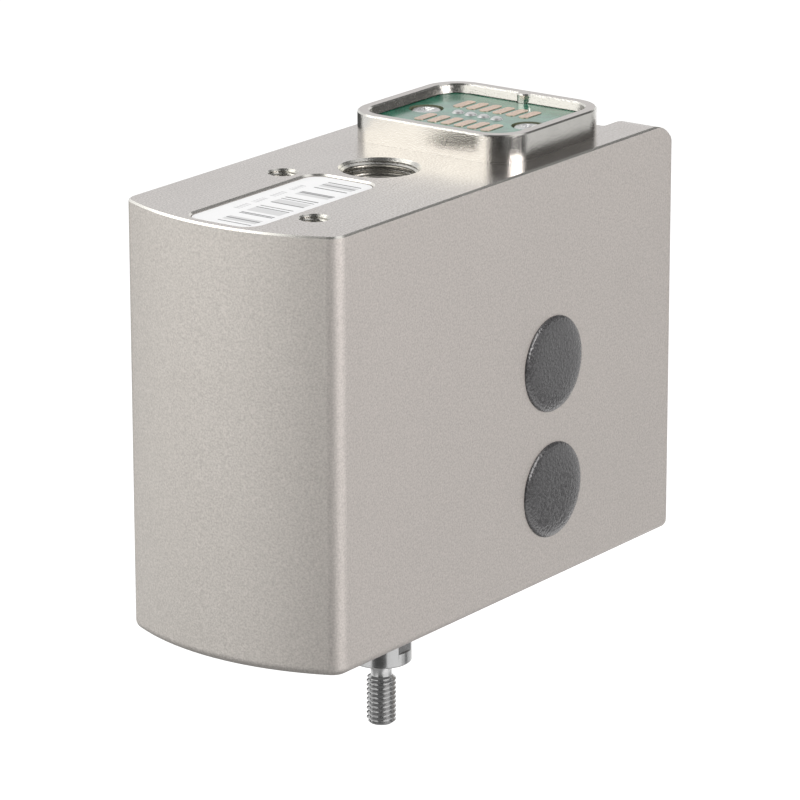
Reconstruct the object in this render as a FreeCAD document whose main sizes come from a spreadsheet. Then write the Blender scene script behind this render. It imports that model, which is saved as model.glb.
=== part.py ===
import FreeCAD, Part
import math
import os
import Sketcher

# Force sensor. Origin: centre of the mounting thread's mouth on the top face. The load axis is Z, with
# the loading shaft pointing down. X is the width and the curved front faces -Y. All sizes in millimetres.
doc = FreeCAD.newDocument("force_sensor")
sheet = doc.addObject("Spreadsheet::Sheet", "Sizes")

# Driving sizes. Depths are measured down from the top face, reaches outwards from the load axis.
DRIVING = {
    # housing
    "body_width": 41.3,
    "body_height": 70.4,
    "front_reach": 43.75,
    "front_radius": 43.0,
    "rear_reach": 54.1,
    "front_edge_radius": 3.0,
    "rear_edge_radius": 1.5,
    "bottom_edge_radius": 1.4,
    "rear_top_radius": 6.35,
    "top_edge_break": 0.3,
    "side_wall": 4.0,
    "top_wall": 5.0,
    "inner_corner_radius": 2.5,
    # notch in the rear top edge
    "notch_width": 26.6,
    "notch_front": 43.95,
    "notch_depth": 5.0,
    "notch_corner": 0.5,
    "notch_wall": 3.0,
    # threads in the top face
    "mount_thread_radius": 6.35,
    "mount_thread_depth": 12.7,
    "mount_boss_wall": 4.6,
    "mount_boss_floor": 3.0,
    "mount_mouth_break": 0.35,
    "side_thread_radius": 2.413,
    "side_thread_depth": 8.0,
    "side_boss_wall": 2.2,
    "side_boss_floor": 2.0,
    "side_mouth_break": 0.15,
    "left_thread_x": 10.6,
    "left_thread_y": 11.5,
    "right_thread_x": 10.6,
    "right_thread_y": 31.2,
    # label in its pocket
    "label_pocket_width": 13.2,
    "label_pocket_front": 41.8,
    "label_pocket_rear": 8.6,
    "label_pocket_corner": 3.0,
    "label_pocket_depth": 0.5,
    "label_pocket_break": 0.3,
    "label_thickness": 0.12,
    "label_gap": 0.15,
    # connector collar
    "collar_width": 32.8,
    "collar_length": 29.75,
    "collar_middle": 26.7,
    "collar_height": 4.57,
    "collar_wall": 2.0,
    "collar_corner": 6.35,
    "collar_rim_break": 0.25,
    "collar_seat_depth": 1.5,
    "collar_seat_gap": 0.05,
    "collar_floor": 2.0,
    "window_width": 14.4,
    "window_length": 16.0,
    "rib_radius": 1.5,
    "rib_proud": 0.9,
    "rib_offset": 0.3,
    "collar_screw_inset": 3.9,
    "collar_screw_radius": 1.0,
    "collar_screw_head_radius": 1.9,
    "collar_screw_head_height": 2.0,
    "collar_screw_engagement": 1.7,
    # connector board
    "board_drop": 1.57,
    "board_thickness": 1.6,
    "board_gap": 0.15,
    "board_screw_offset": 10.2,
    "board_screw_radius": 1.25,
    "board_screw_head_radius": 2.4,
    "board_screw_head_height": 0.85,
    "board_screw_round_share": 0.3,
    "board_screw_sink_gap": 0.45,
    "board_screw_length": 3.55,
    "standoff_radius": 2.9,
    "pads_offset": 0.3,
    "pad_rows_offset": 0.65,
    "pad_pitch": 2.63,
    "pad_width": 1.75,
    "pad_length": 4.9,
    "pad_corner": 0.7,
    "pad_row_spacing": 10.86,
    "pad_thickness": 0.1,
    "pin_offset": 0.65,
    "pin_shift": 0.45,
    "pin_pitch": 2.56,
    "pin_radius": 0.35,
    "pin_length": 10.0,
    "pin_gap": 0.08,
    "solder_radius": 1.05,
    "solder_height": 0.6,
    "solder_round_share": 0.9,
    "header_width": 2.5,
    "header_height": 2.5,
    "socket_wall": 1.0,
    "socket_height": 8.0,
    "socket_gap": 0.1,
    "chip_length": 5.0,
    "chip_width": 4.0,
    "chip_height": 1.5,
    "chip_spacing": 5.2,
    # hole plugs in the right-hand wall
    "plug_y": 18.9,
    "upper_plug_depth": 33.4,
    "lower_plug_depth": 54.7,
    "plug_head_radius": 7.95,
    "plug_head_height": 0.8,
    "plug_head_round": 0.6,
    "plug_hole_radius": 6.75,
    "plug_wall": 1.3,
    "plug_gap": 0.15,
    "plug_snap": 0.25,
    "plug_snap_length": 0.9,
    # load cell
    "cell_thickness": 20.0,
    "column_half": 7.5,
    "column_end": 7.9,
    "beam_depth": 40.0,
    "beam_height": 13.0,
    "bore_radius": 4.5,
    "bore_spacing": 12.4,
    "bore_slot": 4.0,
    "block_length": 14.6,
    "block_rise": 2.0,
    "arm_height": 12.0,
    "arm_room": 3.8,
    "arm_gap": 3.0,
    "cell_corner_radius": 1.5,
    "cell_screw_radius": 2.5,
    "cell_screw_head_radius": 4.25,
    "cell_screw_head_height": 5.0,
    "cell_screw_engagement": 8.4,
    "cell_screw_socket": 2.0,
    "washer_radius": 5.0,
    "washer_thickness": 1.0,
    "thread_gap": 0.05,
    "bolt_gap": 0.2,
    "dowel_radius": 2.0,
    "dowel_length": 10.0,
    "dowel_spacing": 9.0,
    "press_gap": 0.02,
    "gauge_length": 6.0,
    "gauge_width": 4.0,
    "gauge_thickness": 0.15,
    "terminal_length": 10.0,
    "terminal_width": 12.0,
    "terminal_thickness": 0.8,
    # overload pin
    "stop_pin_radius": 2.0,
    "stop_pin_gap": 0.25,
    "stop_pin_reach": 19.0,
    "stop_boss_wall": 2.5,
    "stop_boss_gap": 0.4,
    "stop_pin_seat": 7.5,
    # loading shaft
    "shaft_radius": 5.05,
    "shaft_end_depth": 82.85,
    "shaft_end_break": 0.2,
    "shaft_gap": 0.75,
    "spigot_radius": 4.0,
    "spigot_length": 10.3,
    "spigot_end_gap": 0.2,
    "flats_width": 9.525,
    "flats_end_depth": 80.7,
    "flats_length": 7.8,
    "neck_radius": 1.8,
    "neck_length": 2.55,
    "stud_radius": 2.413,
    "stud_length": 8.3,
    "stud_end_break": 0.7,
    "lock_screw_radius": 2.0,
    "lock_screw_sink": 0.3,
    # bottom cover
    "cover_thickness": 3.0,
    "cover_lip": 1.2,
    "cover_gap": 0.1,
    "post_radius": 3.5,
    "post_height": 12.0,
    "post_inset": 2.15,
    "post_front_reach": 31.0,
    "post_rear_inset": 4.7,
    "cover_screw_radius": 1.5,
    "cover_screw_head_radius": 2.75,
    "cover_screw_length": 9.0,
    "cover_hole_spare": 1.0,
    # signal cable
    "cable_radius": 1.1,
    "cable_run": 3.0,
    "cable_end_inset": 2.5,
}

# Sizes that follow from the driving ones
DERIVED = {
    "half_width": "body_width / 2",
    "front_centre": "front_radius - front_reach",
    "rear_top_start": "rear_reach - rear_top_radius",
    "notch_half": "notch_width / 2",
    "notch_rear": "rear_reach + notch_wall",
    "shelf_x": "half_width - side_wall / 2",
    "shelf_front": "notch_front - notch_wall",
    "shelf_rear": "rear_reach - side_wall / 2",
    "shelf_drop": "notch_depth + notch_wall - top_wall",
    "mount_boss_radius": "mount_thread_radius + mount_boss_wall",
    "mount_boss_drop": "mount_thread_depth + mount_boss_floor - top_wall",
    "side_boss_radius": "side_thread_radius + side_boss_wall",
    "side_boss_drop": "side_thread_depth + side_boss_floor - top_wall",
    "inner_x": "half_width - side_wall",
    "cover_top_depth": "body_height - cover_thickness",
    "cavity_height": "cover_top_depth - top_wall",
    "post_x": "inner_x - post_inset",
    "post_rear": "rear_reach - side_wall - post_rear_inset",
    "cover_hole_radius": "cover_screw_radius + thread_gap",
    "cover_hole_depth": "cover_screw_length - cover_thickness + cover_hole_spare",
    "cover_head_height": "cover_screw_head_radius - cover_screw_radius",
    "shaft_hole_radius": "shaft_radius + shaft_gap",
    # label
    "label_pocket_half": "label_pocket_width / 2",
    "label_half": "label_pocket_half - label_gap",
    "label_front": "label_pocket_front - label_gap",
    "label_rear": "label_pocket_rear + label_gap",
    "label_corner": "label_pocket_corner - label_gap",
    # connector
    "collar_half": "collar_width / 2",
    "collar_front": "collar_middle - collar_length / 2",
    "collar_rear": "collar_middle + collar_length / 2",
    "collar_tall": "collar_height + collar_seat_depth",
    "collar_inside_half": "collar_half - collar_wall",
    "collar_inside_front": "collar_front + collar_wall",
    "collar_inside_rear": "collar_rear - collar_wall",
    "collar_inside_corner": "collar_corner - collar_wall",
    "collar_inside_depth": "collar_tall - collar_floor",
    "seat_half": "collar_half + collar_seat_gap",
    "seat_front": "collar_front - collar_seat_gap",
    "seat_rear": "collar_rear + collar_seat_gap",
    "seat_corner": "collar_corner + collar_seat_gap",
    "window_half": "window_width / 2",
    "window_front": "collar_middle - window_length / 2",
    "window_rear": "collar_middle + window_length / 2",
    "rib_y": "collar_inside_rear - rib_proud + rib_radius",
    "rib_height": "collar_height - floor_top",
    "collar_tap_depth": "collar_screw_engagement + thread_gap",
    "collar_screw_x": "collar_half - collar_screw_inset",
    "collar_screw_front": "collar_front + collar_screw_inset",
    "collar_screw_rear": "collar_rear - collar_screw_inset",
    "collar_screw_hole": "collar_screw_radius + bolt_gap",
    "collar_screw_tap": "collar_screw_radius + thread_gap",
    "collar_screw_shank": "top_wall - collar_seat_depth + collar_screw_engagement",
    "board_top": "collar_height - board_drop",
    "board_under": "board_top - board_thickness",
    "board_half": "collar_inside_half - board_gap",
    "board_front": "collar_inside_front + board_gap",
    "board_rear": "collar_inside_rear - board_gap",
    "board_corner": "collar_inside_corner - board_gap",
    "board_rib_notch": "rib_radius + board_gap",
    "board_screw_hole": "board_screw_radius + bolt_gap",
    "board_screw_recess": "board_screw_head_radius + board_screw_sink_gap",
    "board_screw_seat": "board_top - board_screw_head_height",
    "board_screw_tap": "board_screw_radius + thread_gap",
    "floor_top": "collar_floor - collar_seat_depth",
    "board_screw_head_round": "board_screw_head_height * board_screw_round_share",
    "standoff_height": "board_under - floor_top",
    "pin_hole": "pin_radius + pin_gap",
    "pin_rise": "solder_height / 2",
    "pin_above": "pin_rise + board_thickness",
    "pin_row": "collar_middle + pin_offset",
    "header_left": "pin_shift + 2 * pin_pitch",
    "header_right": "2 * pin_pitch - pin_shift",
    "header_front": "pin_row - header_width / 2",
    "header_rear": "pin_row + header_width / 2",
    "socket_left": "header_left + socket_wall",
    "socket_right": "header_right + socket_wall",
    "socket_front": "header_front - socket_wall",
    "socket_rear": "header_rear + socket_wall",
    "solder_hole_depth": "pin_rise + pin_gap",
    "pin_top": "board_top + pin_rise",
    "solder_round": "solder_height * solder_round_share",
    "socket_top": "board_under - header_height - socket_gap",
    "socket_hole_depth": "pin_length - pin_above - header_height",
    "chip_half": "chip_length / 2",
    "chip_front": "pin_row - chip_spacing - chip_width / 2",
    "chip_rear": "pin_row - chip_spacing + chip_width / 2",
    # load cell and what it carries
    "column_front": "plug_y - column_half",
    "column_rear": "plug_y + column_half",
    "column_top": "upper_plug_depth - column_end",
    "column_bottom": "lower_plug_depth + column_end",
    "beam_top": "beam_depth - beam_height / 2",
    "beam_bottom": "beam_depth + beam_height / 2",
    "block_front": "column_front + block_length",
    "block_top": "beam_top - block_rise",
    "arm_bottom": "cover_top_depth - arm_room",
    "arm_top": "arm_bottom - arm_height",
    "arm_middle": "arm_bottom - arm_height / 2",
    "arm_rear": "column_front - arm_gap",
    "bore_y": "bore_spacing / 2",
    "slot_top": "beam_depth - bore_slot / 2",
    "slot_bottom": "beam_depth + bore_slot / 2",
    "cell_half": "cell_thickness / 2",
    "cell_screw_hole": "cell_screw_radius + bolt_gap",
    "cell_screw_tap": "cell_screw_radius + thread_gap",
    "cell_screw_shank": "cell_thickness + washer_thickness + cell_screw_engagement",
    "cell_tap_depth": "cell_screw_engagement + thread_gap",
    "cell_seat_height": "inner_x - cell_half",
    "washer_face": "cell_half + washer_thickness",
    "cell_screw_face": "washer_face + cell_screw_head_height",
    "cell_screw_socket_depth": "cell_screw_head_height / 2",
    "dowel_depth": "(upper_plug_depth + lower_plug_depth) / 2",
    "dowel_front": "plug_y - dowel_spacing / 2",
    "dowel_rear": "plug_y + dowel_spacing / 2",
    "dowel_hole": "dowel_radius + press_gap",
    "dowel_half": "dowel_length / 2",
    "dowel_hole_depth": "dowel_half + press_gap",
    "gauge_half": "gauge_width / 2",
    "gauge_near": "bore_y - gauge_length / 2",
    "gauge_far": "bore_y + gauge_length / 2",
    "terminal_half": "terminal_width / 2",
    "terminal_front": "plug_y - terminal_length / 2",
    "terminal_rear": "plug_y + terminal_length / 2",
    "stop_pin_hole": "stop_pin_radius + press_gap",
    "stop_pin_clear": "stop_pin_radius + stop_pin_gap",
    "stop_boss_radius": "stop_pin_radius + stop_boss_wall",
    "stop_boss_height": "cell_seat_height - stop_boss_gap",
    "stop_boss_face": "cell_half + stop_boss_gap",
    "stop_pin_start": "stop_boss_face + stop_pin_seat",
    "stop_pin_length": "stop_pin_start + cell_half",
    "stop_hole_depth": "stop_pin_seat + press_gap",
    # loading shaft
    "spigot_top": "arm_bottom - spigot_length",
    "spigot_hole": "spigot_radius + thread_gap",
    "spigot_hole_depth": "spigot_length + spigot_end_gap",
    "shaft_end_inner": "shaft_radius - shaft_end_break",
    "shaft_break_depth": "shaft_end_depth - shaft_end_break",
    "neck_end": "shaft_end_depth + neck_length",
    "stud_tip": "neck_end + stud_length",
    "stud_break_depth": "stud_tip - stud_end_break",
    "stud_tip_radius": "stud_radius - stud_end_break",
    "flat_x": "flats_width / 2",
    "flat_outside": "shaft_radius + shaft_gap",
    "flats_start_depth": "flats_end_depth - flats_length",
    "lock_hole": "lock_screw_radius + thread_gap",
    "lock_hole_depth": "arm_rear - spigot_radius",
    "lock_screw_length": "lock_hole_depth - lock_screw_sink - thread_gap",
    "lock_screw_face": "arm_rear - lock_screw_sink",
    # signal cable between the socket's underside and the terminal board
    "socket_bottom": "socket_height - socket_top",
    "terminal_face": "column_top - terminal_thickness",
    "cable_end": "terminal_rear - cable_end_inset",
    # hole plugs
    "plug_stem_radius": "plug_hole_radius - plug_gap",
    "plug_inside_radius": "plug_stem_radius - plug_wall",
    "plug_stem_length": "side_wall + thread_gap + plug_snap_length",
    "plug_snap_radius": "plug_hole_radius + plug_snap",
    "plug_snap_face": "inner_x - thread_gap",
    # bottom cover
    "cover_clear_hole": "cover_screw_radius + bolt_gap",
}

# Outlines that follow the housing's plan, each a step further in from the outside
OUTLINE_INSETS = {
    "shell": "0",
    "cavity": "side_wall",
    "recess": "side_wall - cover_lip",
    "cover": "side_wall - cover_lip + cover_gap",
}
for outline_name, inset in OUTLINE_INSETS.items():
    is_shell = outline_name == "shell"
    DERIVED[outline_name + "_x"] = "half_width - (%s)" % inset
    DERIVED[outline_name + "_arc"] = "front_radius - (%s)" % inset
    DERIVED[outline_name + "_rear"] = "rear_reach - (%s)" % inset
    DERIVED[outline_name + "_front_corner"] = "front_edge_radius" if is_shell else "inner_corner_radius"
    DERIVED[outline_name + "_rear_corner"] = "rear_edge_radius" if is_shell else "inner_corner_radius"

# Repeated places: columns of contact pads and of header pins, counted from the left
COLUMNS = ("first", "second", "third", "fourth", "fifth", "sixth")
PIN_COLUMNS = COLUMNS[:4]
for index, column in enumerate(COLUMNS):
    middle = "(%s) * pad_pitch - pads_offset" % (index - (len(COLUMNS) - 1) / 2)
    DERIVED["pad_left_" + column] = middle + " - pad_width / 2"
    DERIVED["pad_right_" + column] = middle + " + pad_width / 2"
for index, column in enumerate(PIN_COLUMNS):
    DERIVED["pin_x_" + column] = "(%s) * pin_pitch - pin_shift" % (index - (len(PIN_COLUMNS) - 1) / 2)
for row_name, sign in (("front", "-"), ("rear", "+")):
    row_middle = "collar_middle + pad_rows_offset %s pad_row_spacing / 2" % sign
    DERIVED["pads_%s_low" % row_name] = row_middle + " - pad_length / 2"
    DERIVED["pads_%s_high" % row_name] = row_middle + " + pad_length / 2"


def fill_sheet():
    """Write every size into the sheet, one row each: its name, then its value."""
    row = 0
    for alias, number in DRIVING.items():
        row += 1
        sheet.set("A%d" % row, alias)
        sheet.set("B%d" % row, str(number))
        sheet.setAlias("B%d" % row, alias)
    for alias, formula in DERIVED.items():
        row += 1
        sheet.set("A%d" % row, alias)
        sheet.set("B%d" % row, "=" + formula)
        sheet.setAlias("B%d" % row, alias)
    doc.recompute()


def value(name):
    """The number behind a size's name; a leading minus turns its sign, and None is zero."""
    if name is None:
        return 0.0
    if name.startswith("-"):
        return -float(sheet.get(name[1:]))
    return float(sheet.get(name))


def cell(name):
    """A size's name as the formula that reads it from the sheet."""
    if name.startswith("-"):
        return "-Sizes." + name[1:]
    return "Sizes." + name


def vector(x, y):
    return FreeCAD.Vector(x, y, 0)


UP = FreeCAD.Vector(0, 0, 1)


# Sketch helpers
def new_body(label):
    body = doc.addObject("PartDesign::Body", label)
    body.Label = label
    return body


def new_sketch(body, name, plane_role, offset=None):
    """A sketch on one of the body's own planes, moved along the plane's normal by a named size."""
    sketch = body.newObject("Sketcher::SketchObject", body.Label + "_" + name)
    plane = next(part for part in body.Origin.OriginFeatures if part.Role == plane_role)
    sketch.AttachmentSupport = [(plane, "")]
    sketch.MapMode = "FlatFace"
    if offset:
        sketch.setExpression("AttachmentOffset.Base.z", cell(offset))
    return sketch


def measure(sketch, kind, geometry, name):
    """One dimension of a sketch, driven by a size of the sheet."""
    number = sketch.addConstraint(Sketcher.Constraint(kind, *geometry, value(name)))
    sketch.setExpression("Constraints[%d]" % number, cell(name))


def hold(sketch, geometry, point, x, y):
    """Hold a point at named sizes from the sketch's origin; None keeps it on the axis."""
    if x is None:
        sketch.addConstraint(Sketcher.Constraint("PointOnObject", geometry, point, -2))
    else:
        measure(sketch, "DistanceX", (-1, 1, geometry, point), x)
    if y is None:
        sketch.addConstraint(Sketcher.Constraint("PointOnObject", geometry, point, -1))
    else:
        measure(sketch, "DistanceY", (-1, 1, geometry, point), y)


def circle(sketch, x, y, radius):
    ring = Part.Circle(vector(value(x), value(y)), UP, value(radius))
    geometry = sketch.addGeometry(ring, False)
    hold(sketch, geometry, 3, x, y)
    measure(sketch, "Radius", (geometry,), radius)


def polygon(sketch, corners):
    """A closed outline of straight lines through corners given by named sizes."""
    places = [vector(value(x), value(y)) for x, y in corners]
    lines = []
    for start, end in zip(places, places[1:] + places[:1]):
        lines.append(sketch.addGeometry(Part.LineSegment(start, end), False))
    for line, following in zip(lines, lines[1:] + lines[:1]):
        sketch.addConstraint(Sketcher.Constraint("Coincident", line, 2, following, 1))
    for line, (x, y) in zip(lines, corners):
        hold(sketch, line, 1, x, y)


def rectangle(sketch, left, right, low, high):
    polygon(sketch, [(left, low), (right, low), (right, high), (left, high)])


def arc(centre, radius, start, end):
    """An arc from one angle to another, counter-clockwise, in degrees."""
    return Part.ArcOfCircle(Part.Circle(centre, UP, radius), math.radians(start), math.radians(end))


def rounded_rectangle(sketch, left, right, low, high, corner):
    """A rectangle with four equal round corners."""
    x0, x1, y0, y1, r = (value(name) for name in (left, right, low, high, corner))
    pieces = [
        Part.LineSegment(vector(x0 + r, y0), vector(x1 - r, y0)),
        arc(vector(x1 - r, y0 + r), r, 270, 360),
        Part.LineSegment(vector(x1, y0 + r), vector(x1, y1 - r)),
        arc(vector(x1 - r, y1 - r), r, 0, 90),
        Part.LineSegment(vector(x1 - r, y1), vector(x0 + r, y1)),
        arc(vector(x0 + r, y1 - r), r, 90, 180),
        Part.LineSegment(vector(x0, y1 - r), vector(x0, y0 + r)),
        arc(vector(x0 + r, y0 + r), r, 180, 270),
    ]
    geometry = [sketch.addGeometry(piece, False) for piece in pieces]
    join_tangent(sketch, geometry)
    bottom, side, top, other = geometry[0::2]
    for line in (bottom, top):
        sketch.addConstraint(Sketcher.Constraint("Horizontal", line))
    for line in (side, other):
        sketch.addConstraint(Sketcher.Constraint("Vertical", line))
    measure(sketch, "DistanceY", (-1, 1, bottom, 1), low)
    measure(sketch, "DistanceY", (-1, 1, top, 1), high)
    measure(sketch, "DistanceX", (-1, 1, side, 1), right)
    measure(sketch, "DistanceX", (-1, 1, other, 1), left)
    for bend in geometry[1::2]:
        measure(sketch, "Radius", (bend,), corner)


def join_tangent(sketch, geometry):
    """Join a closed run of lines and counter-clockwise arcs end to end, each tangent to the next."""
    for piece, following in zip(geometry, geometry[1:] + geometry[:1]):
        sketch.addConstraint(Sketcher.Constraint("Tangent", piece, 2, following, 1))


def housing_outline(sketch, name):
    """The housing's plan: bowed front, straight sides and rear, four round corners."""
    half, radius, rear = value(name + "_x"), value(name + "_arc"), value(name + "_rear")
    front_r, rear_r = value(name + "_front_corner"), value(name + "_rear_corner")
    centre_y = value("front_centre")
    corner_x = half - front_r
    corner_y = centre_y - math.sqrt((radius - front_r) ** 2 - corner_x ** 2)
    spread = math.degrees(math.asin(corner_x / (radius - front_r)))
    pieces = [
        arc(vector(0, centre_y), radius, 270 - spread, 270 + spread),
        arc(vector(corner_x, corner_y), front_r, 270 + spread, 360),
        Part.LineSegment(vector(half, corner_y), vector(half, rear - rear_r)),
        arc(vector(half - rear_r, rear - rear_r), rear_r, 0, 90),
        Part.LineSegment(vector(half - rear_r, rear), vector(rear_r - half, rear)),
        arc(vector(rear_r - half, rear - rear_r), rear_r, 90, 180),
        Part.LineSegment(vector(-half, rear - rear_r), vector(-half, corner_y)),
        arc(vector(-corner_x, corner_y), front_r, 180, 270 - spread),
    ]
    geometry = [sketch.addGeometry(piece, False) for piece in pieces]
    join_tangent(sketch, geometry)
    front, right_front, right, right_rear, back, left_rear, left, left_front = geometry
    sketch.addConstraint(Sketcher.Constraint("Vertical", right))
    sketch.addConstraint(Sketcher.Constraint("Vertical", left))
    sketch.addConstraint(Sketcher.Constraint("Horizontal", back))
    hold(sketch, front, 3, None, "front_centre")
    measure(sketch, "Radius", (front,), name + "_arc")
    measure(sketch, "DistanceX", (-1, 1, right, 1), name + "_x")
    measure(sketch, "DistanceX", (-1, 1, left, 1), "-" + name + "_x")
    measure(sketch, "DistanceY", (-1, 1, back, 1), name + "_rear")
    for bend in (right_front, left_front):
        measure(sketch, "Radius", (bend,), name + "_front_corner")
    for bend in (right_rear, left_rear):
        measure(sketch, "Radius", (bend,), name + "_rear_corner")


# Feature helpers
def pad(body, sketch, length, reverse=False, both_sides=False):
    feature = body.newObject("PartDesign::Pad", sketch.Name + "_pad")
    feature.Profile = sketch
    feature.setExpression("Length", cell(length))
    feature.Reversed = reverse
    feature.SideType = "Symmetric" if both_sides else "One side"
    doc.recompute()
    return feature


def pocket(body, sketch, length, reverse=False, both_sides=False):
    """Cut a sketch into the body and make sure that it took material away."""
    before = body.Shape.Volume
    feature = body.newObject("PartDesign::Pocket", sketch.Name + "_pocket")
    feature.Profile = sketch
    feature.setExpression("Length", cell(length))
    feature.Reversed = reverse
    feature.SideType = "Symmetric" if both_sides else "One side"
    doc.recompute()
    if not body.Shape.Volume < before:
        raise RuntimeError("the cut %s takes nothing away" % feature.Name)
    return feature


def turn(body, sketch):
    """Turn a half section round the sketch's upright axis."""
    feature = body.newObject("PartDesign::Revolution", sketch.Name + "_turned")
    feature.Profile = sketch
    feature.ReferenceAxis = (sketch, ["V_Axis"])
    feature.Angle = 360
    doc.recompute()
    return feature


def edges_where(body, test):
    """Names of the edges of the body's present shape that pass a test."""
    return ["Edge%d" % (i + 1) for i, edge in enumerate(body.Shape.Edges) if test(edge)]


def dress(body, kind, name, size_property, size, test):
    """Round or break the edges that pass a test."""
    edges = edges_where(body, test)
    base = body.Tip
    feature = body.newObject("PartDesign::" + kind, body.Label + "_" + name)
    feature.Base = (base, edges)
    feature.setExpression(size_property, cell(size))
    doc.recompute()
    return feature


NEAR = 1e-4


def lies_at_height(edge, height):
    box = edge.BoundBox
    return abs(box.ZMin - height) < NEAR and abs(box.ZMax - height) < NEAR


def is_ring(edge, radius, height):
    """A full circle of a given radius, lying flat at a given height."""
    curve = edge.Curve
    round_edge = isinstance(curve, Part.Circle) and abs(curve.Radius - radius) < NEAR
    return round_edge and lies_at_height(edge, height)


# Places that several pieces share
COVER_SCREWS = [(x, y) for x in ("-post_x", "post_x") for y in ("-post_front_reach", "post_rear")]
COLLAR_SCREWS = [(x, y) for x in ("-collar_screw_x", "collar_screw_x")
                 for y in ("collar_screw_front", "collar_screw_rear")]
PLUGS = [("plug_y", "-upper_plug_depth"), ("plug_y", "-lower_plug_depth")]
DOWELS = [("dowel_front", "-dowel_depth"), ("dowel_rear", "-dowel_depth")]
BOARD_SCREWS = [("-board_screw_offset", "collar_middle"), ("board_screw_offset", "collar_middle")]
HEADER_PINS = [("pin_x_" + column, "pin_row") for column in PIN_COLUMNS]


# Housing
def make_housing():
    body = new_body("housing")
    plan = new_sketch(body, "plan", "XY_Plane")
    housing_outline(plan, "shell")
    pad(body, plan, "body_height", reverse=True)
    bottom = -value("body_height")
    dress(body, "Fillet", "bottom_round", "Radius", "bottom_edge_radius", lambda e: lies_at_height(e, bottom))
    dress(body, "Chamfer", "top_break", "Size", "top_edge_break", lambda e: lies_at_height(e, 0))
    round_rear_top(body)
    hollow_housing(body)
    raise_bosses(body)
    cut_top_features(body)
    cut_connector_seat(body)
    cut_side_features(body)
    return body


def round_rear_top(body):
    """Take the rear top corner off along a large radius, over the whole width."""
    sketch = new_sketch(body, "rear_top", "YZ_Plane")
    rear, radius, start = value("rear_reach"), value("rear_top_radius"), value("rear_top_start")
    bend = sketch.addGeometry(arc(vector(start, -radius), radius, 0, 90), False)
    down = sketch.addGeometry(Part.LineSegment(vector(rear, -radius), vector(rear, 0)), False)
    back = sketch.addGeometry(Part.LineSegment(vector(rear, 0), vector(start, 0)), False)
    sketch.addConstraint(Sketcher.Constraint("Coincident", bend, 1, down, 1))
    sketch.addConstraint(Sketcher.Constraint("Coincident", down, 2, back, 1))
    sketch.addConstraint(Sketcher.Constraint("Coincident", back, 2, bend, 2))
    hold(sketch, bend, 1, "rear_reach", "-rear_top_radius")
    hold(sketch, bend, 2, "rear_top_start", None)
    hold(sketch, down, 2, "rear_reach", None)
    measure(sketch, "Radius", (bend,), "rear_top_radius")
    pocket(body, sketch, "body_width", both_sides=True)


def hollow_housing(body):
    """Open the inside from below and sink a ledge for the cover."""
    cavity = new_sketch(body, "cavity", "XY_Plane", "-cover_top_depth")
    housing_outline(cavity, "cavity")
    pocket(body, cavity, "cavity_height", reverse=True)
    recess = new_sketch(body, "recess", "XY_Plane", "-body_height")
    housing_outline(recess, "recess")
    pocket(body, recess, "cover_thickness", reverse=True)


def raise_bosses(body):
    """Bosses and a shelf under the top wall, posts for the cover and the seats on the left-hand wall."""
    shelf = new_sketch(body, "notch_shelf", "XY_Plane", "-top_wall")
    rectangle(shelf, "-shelf_x", "shelf_x", "shelf_front", "shelf_rear")
    pad(body, shelf, "shelf_drop", reverse=True)
    mount = new_sketch(body, "mount_boss", "XY_Plane", "-top_wall")
    circle(mount, None, None, "mount_boss_radius")
    pad(body, mount, "mount_boss_drop", reverse=True)
    side = new_sketch(body, "side_bosses", "XY_Plane", "-top_wall")
    circle(side, "-left_thread_x", "-left_thread_y", "side_boss_radius")
    circle(side, "right_thread_x", "-right_thread_y", "side_boss_radius")
    pad(body, side, "side_boss_drop", reverse=True)
    posts = new_sketch(body, "cover_posts", "XY_Plane", "-cover_top_depth")
    for x, y in COVER_SCREWS:
        circle(posts, x, y, "post_radius")
    pad(body, posts, "post_height")
    seat = new_sketch(body, "cell_seat", "YZ_Plane", "-inner_x")
    rectangle(seat, "column_front", "column_rear", "-column_bottom", "-column_top")
    pad(body, seat, "cell_seat_height")
    stop = new_sketch(body, "stop_boss", "YZ_Plane", "-inner_x")
    circle(stop, "-stop_pin_reach", "-arm_middle", "stop_boss_radius")
    pad(body, stop, "stop_boss_height")


def cut_top_features(body):
    """The mounting thread, the two smaller threads, the label pocket and the notch in the rear edge."""
    mount = new_sketch(body, "mount_thread", "XY_Plane")
    circle(mount, None, None, "mount_thread_radius")
    pocket(body, mount, "mount_thread_depth")
    side = new_sketch(body, "side_threads", "XY_Plane")
    circle(side, "-left_thread_x", "-left_thread_y", "side_thread_radius")
    circle(side, "right_thread_x", "-right_thread_y", "side_thread_radius")
    pocket(body, side, "side_thread_depth")
    radius = value("mount_thread_radius")
    dress(body, "Chamfer", "mount_mouth", "Size", "mount_mouth_break", lambda e: is_ring(e, radius, 0))
    small = value("side_thread_radius")
    dress(body, "Chamfer", "side_mouths", "Size", "side_mouth_break", lambda e: is_ring(e, small, 0))
    label = new_sketch(body, "label_pocket", "XY_Plane")
    rounded_rectangle(label, "-label_pocket_half", "label_pocket_half", "-label_pocket_front",
                      "-label_pocket_rear", "label_pocket_corner")
    pocket(body, label, "label_pocket_depth")
    half, rear = value("label_pocket_half"), -value("label_pocket_rear")
    dress(body, "Chamfer", "label_mouth", "Size", "label_pocket_break",
          lambda e: lies_at_height(e, 0) and e.BoundBox.YMax < rear + NEAR
          and -half - NEAR < e.BoundBox.XMin and e.BoundBox.XMax < half + NEAR)
    notch = new_sketch(body, "rear_notch", "XY_Plane")
    rounded_rectangle(notch, "-notch_half", "notch_half", "notch_front", "notch_rear", "notch_corner")
    pocket(body, notch, "notch_depth")


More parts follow.
